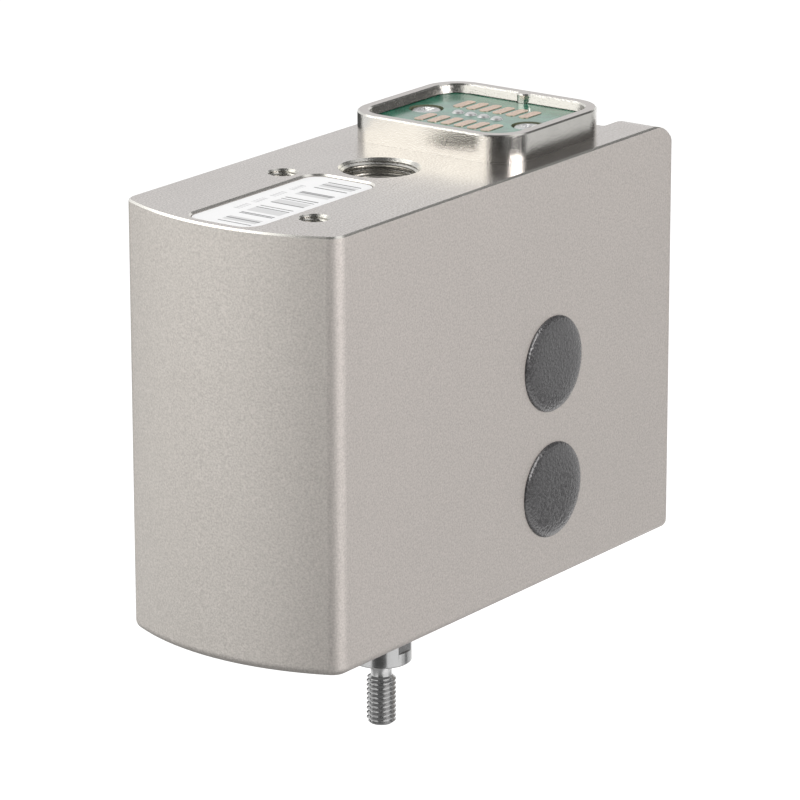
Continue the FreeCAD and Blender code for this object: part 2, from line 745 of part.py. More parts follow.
def cut_connector_seat(body):
    """The shallow seat of the collar, the window for the wires and the holes for its screws."""
    seat = new_sketch(body, "collar_seat", "XY_Plane")
    rounded_rectangle(seat, "-seat_half", "seat_half", "seat_front", "seat_rear", "seat_corner")
    pocket(body, seat, "collar_seat_depth")
    window = new_sketch(body, "wire_window", "XY_Plane")
    rectangle(window, "-window_half", "window_half", "window_front", "window_rear")
    pocket(body, window, "top_wall")
    screws = new_sketch(body, "collar_screw_holes", "XY_Plane")
    for x, y in COLLAR_SCREWS:
        circle(screws, x, y, "collar_screw_hole")
    pocket(body, screws, "top_wall")


def cut_side_features(body):
    """Tapped holes in the posts and the seats, and the holes that the plugs close."""
    posts = new_sketch(body, "cover_screw_holes", "XY_Plane", "-cover_top_depth")
    for x, y in COVER_SCREWS:
        circle(posts, x, y, "cover_hole_radius")
    pocket(body, posts, "cover_hole_depth", reverse=True)
    taps = new_sketch(body, "cell_screw_taps", "YZ_Plane", "-cell_half")
    for y, z in PLUGS:
        circle(taps, y, z, "cell_screw_tap")
    pocket(body, taps, "cell_tap_depth")
    dowels = new_sketch(body, "dowel_holes", "YZ_Plane", "-cell_half")
    for y, z in DOWELS:
        circle(dowels, y, z, "dowel_hole")
    pocket(body, dowels, "dowel_hole_depth")
    stop = new_sketch(body, "stop_hole", "YZ_Plane", "-stop_boss_face")
    circle(stop, "-stop_pin_reach", "-arm_middle", "stop_pin_hole")
    pocket(body, stop, "stop_hole_depth")
    plugs = new_sketch(body, "plug_holes", "YZ_Plane", "half_width")
    for y, z in PLUGS:
        circle(plugs, y, z, "plug_hole_radius")
    pocket(body, plugs, "side_wall")


# Connector
def make_collar():
    """Rounded-square wall with a floor that seats in the housing, a key rib and two standoffs."""
    body = new_body("connector_collar")
    outside = new_sketch(body, "outside", "XY_Plane", "-collar_seat_depth")
    rounded_rectangle(outside, "-collar_half", "collar_half", "collar_front", "collar_rear", "collar_corner")
    pad(body, outside, "collar_tall")
    inside = new_sketch(body, "inside", "XY_Plane", "collar_height")
    rounded_rectangle(inside, "-collar_inside_half", "collar_inside_half", "collar_inside_front",
                      "collar_inside_rear", "collar_inside_corner")
    pocket(body, inside, "collar_inside_depth")
    rib = new_sketch(body, "key_rib", "XY_Plane", "floor_top")
    half_disc(rib, "rib_offset", "rib_y", "rib_radius")
    pad(body, rib, "rib_height")
    rim = value("collar_height")
    dress(body, "Chamfer", "rim_break", "Size", "collar_rim_break", lambda e: lies_at_height(e, rim))
    standoffs = new_sketch(body, "standoffs", "XY_Plane", "floor_top")
    for x, y in BOARD_SCREWS:
        circle(standoffs, x, y, "standoff_radius")
    pad(body, standoffs, "standoff_height")
    window = new_sketch(body, "window", "XY_Plane", "floor_top")
    rectangle(window, "-window_half", "window_half", "window_front", "window_rear")
    pocket(body, window, "collar_floor")
    taps = new_sketch(body, "board_screw_taps", "XY_Plane", "board_under")
    for x, y in BOARD_SCREWS:
        circle(taps, x, y, "board_screw_tap")
    pocket(body, taps, "collar_tall")
    screws = new_sketch(body, "collar_screw_taps", "XY_Plane", "-collar_seat_depth")
    for x, y in COLLAR_SCREWS:
        circle(screws, x, y, "collar_screw_tap")
    pocket(body, screws, "collar_tap_depth", reverse=True)
    return body


def half_disc(sketch, x, y, radius):
    """Half a disc that bulges towards the sketch's lower side."""
    middle, reach = vector(value(x), value(y)), value(radius)
    bend = sketch.addGeometry(arc(middle, reach, 180, 360), False)
    chord = sketch.addGeometry(Part.LineSegment(middle + vector(reach, 0), middle - vector(reach, 0)), False)
    sketch.addConstraint(Sketcher.Constraint("Coincident", bend, 2, chord, 1))
    sketch.addConstraint(Sketcher.Constraint("Coincident", chord, 2, bend, 1))
    sketch.addConstraint(Sketcher.Constraint("PointOnObject", bend, 3, chord))
    sketch.addConstraint(Sketcher.Constraint("Horizontal", chord))
    hold(sketch, bend, 3, x, y)
    measure(sketch, "Radius", (bend,), radius)


def make_collar_screws():
    return make_screws("collar_screws", COLLAR_SCREWS, "-top_wall", "collar_screw_head_radius",
                       "collar_screw_head_height", "collar_screw_radius", "collar_screw_shank", up=True)


def make_screws(label, places, seat, head_radius, head_height, shank_radius, shank_length, up):
    """Like screws side by side, upright: heads on one side of their seat, shanks on the other."""
    body = new_body(label)
    heads = new_sketch(body, "heads", "XY_Plane", seat)
    shanks = new_sketch(body, "shanks", "XY_Plane", seat)
    for x, y in places:
        circle(heads, x, y, head_radius)
        circle(shanks, x, y, shank_radius)
    pad(body, heads, head_height, reverse=up)
    pad(body, shanks, shank_length, reverse=not up)
    return body


def make_board():
    body = new_body("connector_board")
    plan = new_sketch(body, "plan", "XY_Plane", "board_under")
    rounded_rectangle(plan, "-board_half", "board_half", "board_front", "board_rear", "board_corner")
    pad(body, plan, "board_thickness")
    notch = new_sketch(body, "rib_notch", "XY_Plane", "board_top")
    circle(notch, "rib_offset", "rib_y", "board_rib_notch")
    pocket(body, notch, "board_thickness")
    holes = new_sketch(body, "holes", "XY_Plane", "board_top")
    for x, y in BOARD_SCREWS:
        circle(holes, x, y, "board_screw_hole")
    for x, y in HEADER_PINS:
        circle(holes, x, y, "pin_hole")
    pocket(body, holes, "board_thickness")
    recesses = new_sketch(body, "screw_recesses", "XY_Plane", "board_top")
    for x, y in BOARD_SCREWS:
        circle(recesses, x, y, "board_screw_recess")
    pocket(body, recesses, "board_screw_head_height")
    return body


def make_contact_pads():
    body = new_body("contact_pads")
    plan = new_sketch(body, "plan", "XY_Plane", "board_top")
    for row_name in ("front", "rear"):
        for column in COLUMNS:
            rounded_rectangle(plan, "pad_left_" + column, "pad_right_" + column, "pads_%s_low" % row_name,
                              "pads_%s_high" % row_name, "pad_corner")
    pad(body, plan, "pad_thickness")
    return body


def make_solder_joints():
    """Domes of solder over the pin ends, each hollow for its pin."""
    body = new_body("solder_joints")
    plan = new_sketch(body, "plan", "XY_Plane", "board_top")
    for x, y in HEADER_PINS:
        circle(plan, x, y, "solder_radius")
    pad(body, plan, "solder_height")
    top = value("board_top") + value("solder_height")
    dress(body, "Fillet", "domes", "Radius", "solder_round", lambda e: lies_at_height(e, top))
    holes = new_sketch(body, "pin_holes", "XY_Plane", "board_top")
    for x, y in HEADER_PINS:
        circle(holes, x, y, "pin_hole")
    pocket(body, holes, "solder_hole_depth", reverse=True)
    return body


def make_board_screws():
    body = make_screws("board_screws", BOARD_SCREWS, "board_screw_seat", "board_screw_head_radius",
                       "board_screw_head_height", "board_screw_radius", "board_screw_length", up=False)
    top = value("board_top")
    dress(body, "Fillet", "pan_heads", "Radius", "board_screw_head_round", lambda e: lies_at_height(e, top))
    return body


def make_header():
    body = new_body("pin_header")
    plan = new_sketch(body, "plan", "XY_Plane", "board_under")
    rectangle(plan, "-header_left", "header_right", "header_front", "header_rear")
    for x, y in HEADER_PINS:
        circle(plan, x, y, "pin_hole")
    pad(body, plan, "header_height", reverse=True)
    return body


def make_header_pins():
    body = new_body("header_pins")
    plan = new_sketch(body, "plan", "XY_Plane", "pin_top")
    for x, y in HEADER_PINS:
        circle(plan, x, y, "pin_radius")
    pad(body, plan, "pin_length", reverse=True)
    return body


def make_socket():
    body = new_body("wire_socket")
    plan = new_sketch(body, "plan", "XY_Plane", "socket_top")
    rectangle(plan, "-socket_left", "socket_right", "socket_front", "socket_rear")
    pad(body, plan, "socket_height", reverse=True)
    holes = new_sketch(body, "pin_holes", "XY_Plane", "socket_top")
    for x, y in HEADER_PINS:
        circle(holes, x, y, "pin_hole")
    pocket(body, holes, "socket_hole_depth")
    return body


def make_chip():
    body = new_body("memory_chip")
    plan = new_sketch(body, "plan", "XY_Plane", "board_under")
    rectangle(plan, "-chip_half", "chip_half", "chip_front", "chip_rear")
    pad(body, plan, "chip_height", reverse=True)
    return body


def make_signal_cable():
    """Cable from the socket's underside to the terminal board, in two equal bends."""
    body = new_body("signal_cable")
    spine = new_sketch(body, "route", "YZ_Plane", "-pin_shift")
    start = vector(value("pin_row"), -value("socket_bottom"))
    end = vector(value("cable_end"), -value("terminal_face"))
    run = vector(0, value("cable_run"))
    bends_start, bends_end = start - run, end + run
    shift, drop = bends_start.x - bends_end.x, bends_start.y - bends_end.y
    turn_angle = 2 * math.atan2(shift, drop)
    radius = drop / (2 * math.sin(turn_angle))
    degrees = math.degrees(turn_angle)
    pieces = [
        Part.LineSegment(start, bends_start),
        arc(bends_start - vector(radius, 0), radius, 360 - degrees, 360),
        arc(bends_end + vector(radius, 0), radius, 180 - degrees, 180),
        Part.LineSegment(bends_end, end),
    ]
    upper, first_bend, second_bend, lower = [spine.addGeometry(piece, False) for piece in pieces]
    spine.addConstraint(Sketcher.Constraint("Tangent", upper, 2, first_bend, 2))
    spine.addConstraint(Sketcher.Constraint("Tangent", first_bend, 1, second_bend, 1))
    spine.addConstraint(Sketcher.Constraint("Tangent", second_bend, 2, lower, 1))
    spine.addConstraint(Sketcher.Constraint("Equal", first_bend, second_bend))
    for line in (upper, lower):
        spine.addConstraint(Sketcher.Constraint("Vertical", line))
        measure(spine, "Distance", (line,), "cable_run")
    hold(spine, upper, 1, "pin_row", "-socket_bottom")
    hold(spine, lower, 2, "cable_end", "-terminal_face")
    section = new_sketch(body, "section", "XY_Plane", "-socket_bottom")
    circle(section, "-pin_shift", "pin_row", "cable_radius")
    pipe = body.newObject("PartDesign::AdditivePipe", "signal_cable_pipe")
    pipe.Profile = section
    pipe.Spine = spine
    doc.recompute()
    return body


# Label and plugs
def make_label():
    body = new_body("serial_label")
    plan = new_sketch(body, "plan", "XY_Plane", "-label_pocket_depth")
    rounded_rectangle(plan, "-label_half", "label_half", "-label_front", "-label_rear", "label_corner")
    pad(body, plan, "label_thickness")
    return body


def make_plug(label, depth):
    """Snap-in hole plug: a low round-edged head, a hollow stem and a snap bead behind the wall."""
    body = new_body(label)
    head = new_sketch(body, "head", "YZ_Plane", "half_width")
    circle(head, "plug_y", depth, "plug_head_radius")
    pad(body, head, "plug_head_height")
    face = value("half_width") + value("plug_head_height")
    dress(body, "Fillet", "head_round", "Radius", "plug_head_round", lambda e: abs(e.BoundBox.XMin - face) < NEAR)
    stem = new_sketch(body, "stem", "YZ_Plane", "half_width")
    circle(stem, "plug_y", depth, "plug_stem_radius")
    circle(stem, "plug_y", depth, "plug_inside_radius")
    pad(body, stem, "plug_stem_length", reverse=True)
    bead = new_sketch(body, "bead", "YZ_Plane", "plug_snap_face")
    circle(bead, "plug_y", depth, "plug_snap_radius")
    circle(bead, "plug_y", depth, "plug_inside_radius")
    pad(body, bead, "plug_snap_length", reverse=True)
    return body


# Load cell and its fastenings
def make_load_cell():
    """One-piece beam: fixed column, twin-bored beam, end block and an arm folded back to the load axis."""
    body = new_body("load_cell")
    side = new_sketch(body, "side", "YZ_Plane")
    polygon(side, [
        ("-block_front", "-arm_bottom"), ("arm_rear", "-arm_bottom"), ("arm_rear", "-arm_top"),
        ("-column_front", "-arm_top"), ("-column_front", "-beam_bottom"), ("column_front", "-beam_bottom"),
        ("column_front", "-column_bottom"), ("column_rear", "-column_bottom"), ("column_rear", "-column_top"),
        ("column_front", "-column_top"), ("column_front", "-beam_top"), ("-column_front", "-beam_top"),
        ("-column_front", "-block_top"), ("-block_front", "-block_top"),
    ])
    pad(body, side, "cell_thickness", both_sides=True)
    corners = [(value(y), value(z)) for y, z in (
        ("-column_front", "-arm_top"), ("-column_front", "-beam_bottom"), ("column_front", "-beam_bottom"),
        ("column_front", "-beam_top"), ("-column_front", "-beam_top"))]

    def is_inner_corner(edge):
        box = edge.BoundBox
        flat = box.YLength < NEAR and box.ZLength < NEAR
        return flat and any(math.hypot(box.YMin - y, box.ZMin - z) < NEAR for y, z in corners)

    dress(body, "Fillet", "inner_corners", "Radius", "cell_corner_radius", is_inner_corner)
    bores = new_sketch(body, "bores", "YZ_Plane")
    circle(bores, "-bore_y", "-beam_depth", "bore_radius")
    circle(bores, "bore_y", "-beam_depth", "bore_radius")
    pocket(body, bores, "cell_thickness", both_sides=True)
    slot = new_sketch(body, "bore_slot", "YZ_Plane")
    rectangle(slot, "-bore_y", "bore_y", "-slot_bottom", "-slot_top")
    pocket(body, slot, "cell_thickness", both_sides=True)
    holes = new_sketch(body, "screw_holes", "YZ_Plane")
    for y, z in PLUGS:
        circle(holes, y, z, "cell_screw_hole")
    circle(holes, "-stop_pin_reach", "-arm_middle", "stop_pin_clear")
    pocket(body, holes, "cell_thickness", both_sides=True)
    dowels = new_sketch(body, "dowel_holes", "YZ_Plane", "-cell_half")
    for y, z in DOWELS:
        circle(dowels, y, z, "dowel_hole")
    pocket(body, dowels, "dowel_hole_depth", reverse=True)
    spigot = new_sketch(body, "spigot_hole", "XY_Plane", "-arm_bottom")
    circle(spigot, None, None, "spigot_hole")
    pocket(body, spigot, "spigot_hole_depth", reverse=True)
    lock = new_sketch(body, "lock_hole", "XZ_Plane", "-arm_rear")
    circle(lock, None, "-arm_middle", "lock_hole")
    pocket(body, lock, "lock_hole_depth", reverse=True)
    return body


def make_cell_screws():
    body = new_body("load_cell_screws")
    heads = new_sketch(body, "heads", "YZ_Plane", "washer_face")
    shanks = new_sketch(body, "shanks", "YZ_Plane", "washer_face")
    sockets = new_sketch(body, "sockets", "YZ_Plane", "cell_screw_face")
    for y, z in PLUGS:
        circle(heads, y, z, "cell_screw_head_radius")
        circle(shanks, y, z, "cell_screw_radius")
        hexagon(sockets, y, z, "cell_screw_socket")
    pad(body, heads, "cell_screw_head_height")
    pad(body, shanks, "cell_screw_shank", reverse=True)
    pocket(body, sockets, "cell_screw_socket_depth")
    return body


HEXAGON_SIDES = 6


def hexagon(sketch, x, y, radius):
    """A regular hexagon inside a construction circle, with a corner on each side."""
    middle, reach = vector(value(x), value(y)), value(radius)
    ring = sketch.addGeometry(Part.Circle(middle, UP, reach), True)
    hold(sketch, ring, 3, x, y)
    measure(sketch, "Radius", (ring,), radius)
    angles = [math.radians(360 / HEXAGON_SIDES * step) for step in range(HEXAGON_SIDES)]
    corners = [middle + vector(reach * math.cos(a), reach * math.sin(a)) for a in angles]
    lines = []
    for start, end in zip(corners, corners[1:] + corners[:1]):
        lines.append(sketch.addGeometry(Part.LineSegment(start, end), False))
    for line, following in zip(lines, lines[1:] + lines[:1]):
        sketch.addConstraint(Sketcher.Constraint("Coincident", line, 2, following, 1))
        sketch.addConstraint(Sketcher.Constraint("PointOnObject", line, 2, ring))
    for line in lines[1:]:
        sketch.addConstraint(Sketcher.Constraint("Equal", lines[0], line))
    sketch.addConstraint(Sketcher.Constraint("Horizontal", lines[1]))


def make_washers():
    body = new_body("load_cell_washers")
    rings = new_sketch(body, "rings", "YZ_Plane", "cell_half")
    for y, z in PLUGS:
        circle(rings, y, z, "washer_radius")
        circle(rings, y, z, "cell_screw_hole")
    pad(body, rings, "washer_thickness")
    return body


def make_dowels():
    body = new_body("locating_dowels")
    plan = new_sketch(body, "plan", "YZ_Plane", "-cell_half")
    for y, z in DOWELS:
        circle(plan, y, z, "dowel_radius")
    pad(body, plan, "dowel_length", both_sides=True)
    return body


def make_gauges():
    """A foil gauge over and under each bore of the beam."""
    body = new_body("strain_gauges")
    for name, depth, below in (("upper", "-beam_top", False), ("lower", "-beam_bottom", True)):
        plan = new_sketch(body, name, "XY_Plane", depth)
        rectangle(plan, "-gauge_half", "gauge_half", "gauge_near", "gauge_far")
        rectangle(plan, "-gauge_half", "gauge_half", "-gauge_far", "-gauge_near")
        pad(body, plan, "gauge_thickness", reverse=below)
    return body


def make_terminal_board():
    body = new_body("terminal_board")
    plan = new_sketch(body, "plan", "XY_Plane", "-column_top")
    rectangle(plan, "-terminal_half", "terminal_half", "terminal_front", "terminal_rear")
    pad(body, plan, "terminal_thickness")
    return body


def make_overload_pin():
    body = new_body("overload_pin")
    plan = new_sketch(body, "plan", "YZ_Plane", "-stop_pin_start")
    circle(plan, "-stop_pin_reach", "-arm_middle", "stop_pin_radius")
    pad(body, plan, "stop_pin_length")
    return body


# Loading shaft
def make_loading_shaft():
    """Turned shaft: threaded spigot, round body with two wrench flats, neck and threaded stud."""
    body = new_body("loading_shaft")
    section = new_sketch(body, "section", "XZ_Plane")
    polygon(section, [
        (None, "-spigot_top"), (None, "-stud_tip"), ("stud_tip_radius", "-stud_tip"),
        ("stud_radius", "-stud_break_depth"), ("stud_radius", "-neck_end"), ("neck_radius", "-neck_end"),
        ("neck_radius", "-shaft_end_depth"), ("shaft_end_inner", "-shaft_end_depth"),
        ("shaft_radius", "-shaft_break_depth"), ("shaft_radius", "-arm_bottom"),
        ("spigot_radius", "-arm_bottom"), ("spigot_radius", "-spigot_top"),
    ])
    turn(body, section)
    flats = new_sketch(body, "flats", "XZ_Plane")
    rectangle(flats, "flat_x", "flat_outside", "-flats_end_depth", "-flats_start_depth")
    rectangle(flats, "-flat_outside", "-flat_x", "-flats_end_depth", "-flats_start_depth")
    pocket(body, flats, "body_width", both_sides=True)
    return body


def make_lock_screw():
    body = new_body("shaft_lock_screw")
    plan = new_sketch(body, "plan", "XZ_Plane", "-lock_screw_face")
    circle(plan, None, "-arm_middle", "lock_screw_radius")
    pad(body, plan, "lock_screw_length")
    return body


# Bottom cover
def make_cover():
    body = new_body("bottom_cover")
    plan = new_sketch(body, "plan", "XY_Plane", "-body_height")
    housing_outline(plan, "cover")
    pad(body, plan, "cover_thickness")
    shaft = new_sketch(body, "shaft_hole", "XY_Plane", "-body_height")
    circle(shaft, None, None, "shaft_hole_radius")
    pocket(body, shaft, "cover_thickness", reverse=True)
    screws = new_sketch(body, "screw_holes", "XY_Plane", "-body_height")
    for x, y in COVER_SCREWS:
        circle(screws, x, y, "cover_clear_hole")
    pocket(body, screws, "cover_thickness", reverse=True)
    radius, bottom = value("cover_clear_hole"), -value("body_height")
    dress(body, "Chamfer", "countersinks", "Size", "cover_head_height", lambda e: is_ring(e, radius, bottom))
    return body


# Slope of the countersunk heads in degrees, the same as the breaks of their holes
CONE_ANGLE = 45


def make_cover_screws():
    """Countersunk screws, flush with the underside."""
    body = new_body("cover_screws")
    shanks = new_sketch(body, "shanks", "XY_Plane", "-body_height")
    heads = new_sketch(body, "heads", "XY_Plane", "-body_height")
    for x, y in COVER_SCREWS:
        circle(shanks, x, y, "cover_screw_radius")
        circle(heads, x, y, "cover_screw_head_radius")
    pad(body, shanks, "cover_screw_length")
    cones = pad(body, heads, "cover_head_height")
    cones.TaperAngle = -CONE_ANGLE
    doc.recompute()
    return body


def check_document():
    """Stop if any object of the document has failed."""
    for item in doc.Objects:
        if "Invalid" in item.State or "Error" in item.State:
            raise RuntimeError("%s has failed: %s" % (item.Name, item.State))


def write_parts(bodies):
    for body in bodies:
        if body.Shape.isNull() or not body.Shape.isValid():
            raise RuntimeError("%s has no valid shape" % body.Label)
    os.makedirs("parts", exist_ok=True)
    for body in bodies:
        body.Shape.exportStep("parts/%s.step" % body.Label)


def main():
    fill_sheet()
    bodies = [
        make_housing(),
        make_collar(),
        make_collar_screws(),
        make_board(),
        make_contact_pads(),
        make_solder_joints(),
        make_board_screws(),
        make_header(),
        make_header_pins(),
        make_socket(),
        make_chip(),
        make_signal_cable(),
        make_label(),
        make_plug("upper_plug", "-upper_plug_depth"),
        make_plug("lower_plug", "-lower_plug_depth"),
        make_load_cell(),
        make_cell_screws(),
        make_washers(),
        make_dowels(),
        make_gauges(),
        make_terminal_board(),
        make_overload_pin(),
        make_loading_shaft(),
        make_lock_screw(),
        make_cover(),
        make_cover_screws(),
    ]
    doc.recompute()
    check_document()
    write_parts(bodies)
    for body in bodies:
        print("%s: %d solids, %.1f mm3" % (body.Label, len(body.Shape.Solids), body.Shape.Volume))


main()
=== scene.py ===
"""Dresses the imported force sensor: threads, screws, solder, hole plugs, shaft, finishes and a studio."""

import math

import bmesh
import bpy
from bpy.props import FloatProperty, FloatVectorProperty, PointerProperty
from mathutils import Matrix, Vector


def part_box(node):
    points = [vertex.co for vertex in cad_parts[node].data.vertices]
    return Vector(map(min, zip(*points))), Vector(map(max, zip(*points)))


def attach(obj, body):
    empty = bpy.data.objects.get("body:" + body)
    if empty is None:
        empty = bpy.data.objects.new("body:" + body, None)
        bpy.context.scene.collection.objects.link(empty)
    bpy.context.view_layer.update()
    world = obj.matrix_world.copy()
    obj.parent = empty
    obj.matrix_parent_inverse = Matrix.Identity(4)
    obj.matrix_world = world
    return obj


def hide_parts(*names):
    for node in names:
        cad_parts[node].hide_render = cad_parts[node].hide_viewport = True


bl_info = {
    "name": "Force sensor",
    "version": (1, 0, 0),
    "blender": (4, 5, 0),
    "location": "3D View > Sidebar > Force sensor",
    "description": "Dresses the force sensor with threads, screws, finishes and a white studio",
    "category": "Object",
}

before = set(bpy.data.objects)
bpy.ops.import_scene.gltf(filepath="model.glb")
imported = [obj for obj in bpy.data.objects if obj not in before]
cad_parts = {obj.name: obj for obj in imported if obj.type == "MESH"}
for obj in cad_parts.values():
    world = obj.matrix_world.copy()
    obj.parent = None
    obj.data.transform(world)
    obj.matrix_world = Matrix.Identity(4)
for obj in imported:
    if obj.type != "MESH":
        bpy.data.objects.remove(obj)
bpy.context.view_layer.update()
MM = 0.001
BODY = "root"

# Corners that lie closer than this are one, in metres: in any piece, and along a thread's winding
MERGE_GAP = 1e-7
WINDING_GAP = 1e-6


# Sizes and colours that a user would change
def length(name, description, millimetres):
    return FloatProperty(name=name, description=description, default=millimetres * MM, min=0.0,
                         subtype="DISTANCE", unit="LENGTH", precision=5)


def colour(name, description, red, green, blue):
    return FloatVectorProperty(name=name, description=description, default=(red, green, blue, 1.0),
                               size=4, min=0.0, max=1.0, subtype="COLOR")


def share(name, description, default, top=1.0):
    return FloatProperty(name=name, description=description, default=default, min=0.0, max=top,
                         subtype="FACTOR")


class SensorSizes(bpy.types.PropertyGroup):
    """Sizes of the pieces that are modelled here."""

    mount_radius: length("Mounting thread", "Radius of the mounting hole in the top face", 6.35)
    mount_depth: length("Mounting depth", "Depth of the mounting thread", 12.6)
    mount_pitch: length("Mounting pitch", "Distance between the ridges of the mounting thread", 0.907)
    mount_ridge: length("Mounting ridge", "How far the mounting thread stands into its hole", 0.46)
    side_radius: length("Side thread", "Radius of the two smaller holes in the top face", 2.413)
    side_depth: length("Side depth", "Depth of the two smaller threads", 7.9)
    side_pitch: length("Side pitch", "Distance between the ridges of the smaller threads", 0.794)
    side_ridge: length("Side ridge", "How far the smaller threads stand into their holes", 0.32)
    collar_gap: length("Collar gap", "Width of the gap round the collar's foot", 0.05)
    collar_corner: length("Collar corner", "Outside corner radius of the collar", 6.35)
    collar_wall: length("Collar wall", "Thickness of the collar's wall", 2.0)
    collar_rim: length("Collar rim", "Height of the bevel along the collar's rim", 0.25)
    collar_lead: length("Collar lead-in", "How far the collar's inside slopes in towards the board", 0.35)
    stud_radius: length("Stud", "Outside radius of the threaded stud", 2.413)
    stud_root: length("Stud root", "Radius at the bottom of the stud's thread", 1.88)
    stud_pitch: length("Stud pitch", "Distance between the ridges of the stud's thread", 0.794)
    shaft_radius: length("Shaft", "Radius of the round shaft above the stud", 5.05)
    flats_width: length("Wrench flats", "Width across the two flats of the shaft", 9.525)
    board_screw_head: length("Board screw head", "Radius of the heads of the board's screws", 2.4)
    cover_screw_head: length("Cover screw head", "Radius of the heads of the cover's screws", 2.75)
    plug_crown: length("Plug crown", "Height of a hole plug's dome above the wall", 0.8)
    plug_rim: length("Plug rim", "Height of a hole plug's head at its rim", 0.15)
    plug_stem: length("Plug stem", "Outside radius of a hole plug's stem", 6.6)
    plug_bore: length("Plug bore", "Inside radius of a hole plug's stem", 5.3)
    plug_bead: length("Plug bead", "Radius of the snap bead behind the wall", 7.0)
    plug_bead_length: length("Plug bead length", "Length of the snap bead", 0.9)
    solder_radius: length("Solder", "Radius of a solder dome", 1.05)
    solder_height: length("Solder height", "Height of a solder dome", 0.46)


class SensorFinishes(bpy.types.PropertyGroup):
    """Colours of the finishes."""

    blasted: colour("Blasted nickel", "Bead-blasted, plated outside of the housing", 0.49, 0.464, 0.44)
    milled: colour("Milled nickel", "Milled and plated top face", 0.476, 0.445, 0.425)
    bright: colour("Bright nickel", "Bright plated connector collar", 0.64, 0.625, 0.59)
    steel: colour("Steel", "Turned steel of the shaft and the screws", 0.50, 0.50, 0.50)
    board: colour("Board", "Lacquer of the connector board", 0.025, 0.17, 0.105)
    pads: colour("Contacts", "Plated contacts of the connector board", 0.64, 0.49, 0.395)
    solder: colour("Solder", "Solder domes", 0.6, 0.6, 0.6)
    plug: colour("Plugs", "Moulded plastic of the hole plugs", 0.036, 0.0355, 0.037)
    label: colour("Label", "Paper of the label", 0.90, 0.905, 0.92)
    aluminium: colour("Aluminium", "Machined load cell", 0.70, 0.70, 0.71)


class SensorStudio(bpy.types.PropertyGroup):
    """Light and camera."""

    floor_drop: length("Floor drop", "Distance from the stud's tip down to the floor", 500.0)
    lens: FloatProperty(name="Lens", description="Focal length of the camera", default=219.9, min=1.0,
                        subtype="DISTANCE_CAMERA", unit="CAMERA")
    surround: share("Surround", "Light from all sides on matt surfaces", 0.58, 4.0)
    key_level: share("Key level", "Strength of the softbox at the front left", 1.0, 10.0)
    right_level: share("Right level", "Strength of the softbox at the right", 1.0, 10.0)


# Modelling helpers
def start():
    """Leave edit mode and deselect everything before a piece is begun."""
    if bpy.context.mode != "OBJECT":
        bpy.ops.object.mode_set(mode="OBJECT")
    bpy.ops.object.select_all(action="DESELECT")


def named(name):
    """Name the piece that was just added, and its mesh."""
    piece = bpy.context.object
    piece.name = name
    piece.data.name = name
    return piece


def take(piece):
    """Select one piece alone."""
    start()
    piece.select_set(True)
    bpy.context.view_layer.objects.active = piece


def open_whole():
    """Put the active piece into edit mode with all of it selected."""
    bpy.ops.object.mode_set(mode="EDIT")
    bpy.ops.mesh.select_all(action="SELECT")


def reopen(piece):
    """Put one piece alone into edit mode with all of it selected."""
    take(piece)
    open_whole()


def draw_out(step):
    """Extrude what is selected by a step."""
    bpy.ops.mesh.extrude_region_move(TRANSFORM_OT_translate={"value": step})


def pick(piece, kind, test):
    """Select the faces, edges or corners of the piece in edit mode that pass a test."""
    bpy.ops.mesh.select_all(action="DESELECT")
    bpy.context.tool_settings.mesh_select_mode = (kind == "verts", kind == "edges", kind == "faces")
    mesh = bmesh.from_edit_mesh(piece.data)
    for element in getattr(mesh, kind):
        element.select_set(test(element))
    mesh.select_flush_mode()
    bmesh.update_edit_mesh(piece.data)


def close(piece):
    """Merge doubles, turn the faces outwards and put the place into the mesh."""
    reopen(piece)
    bpy.ops.mesh.remove_doubles(threshold=MERGE_GAP)
    bpy.ops.mesh.normals_make_consistent(inside=False)
    bpy.ops.object.mode_set(mode="OBJECT")
    bpy.ops.object.transform_apply(location=True, rotation=True, scale=True)
    return piece


def turned(name, profile, steps, place=(0.0, 0.0)):
    """A solid turned round an upright axis: a disc drawn out and resized from station to station."""
    start()
    radius, height = profile[0]
    bpy.ops.mesh.primitive_circle_add(vertices=steps, radius=radius, fill_type="NGON",
                                      location=(place[0], place[1], height))
    piece = named(name)
    open_whole()
    for next_radius, next_height in profile[1:]:
        draw_out((0, 0, next_height - height))
        change = next_radius / radius
        bpy.ops.transform.resize(value=(change, change, 1), center_override=(place[0], place[1], next_height))
        radius, height = next_radius, next_height
    return close(piece)


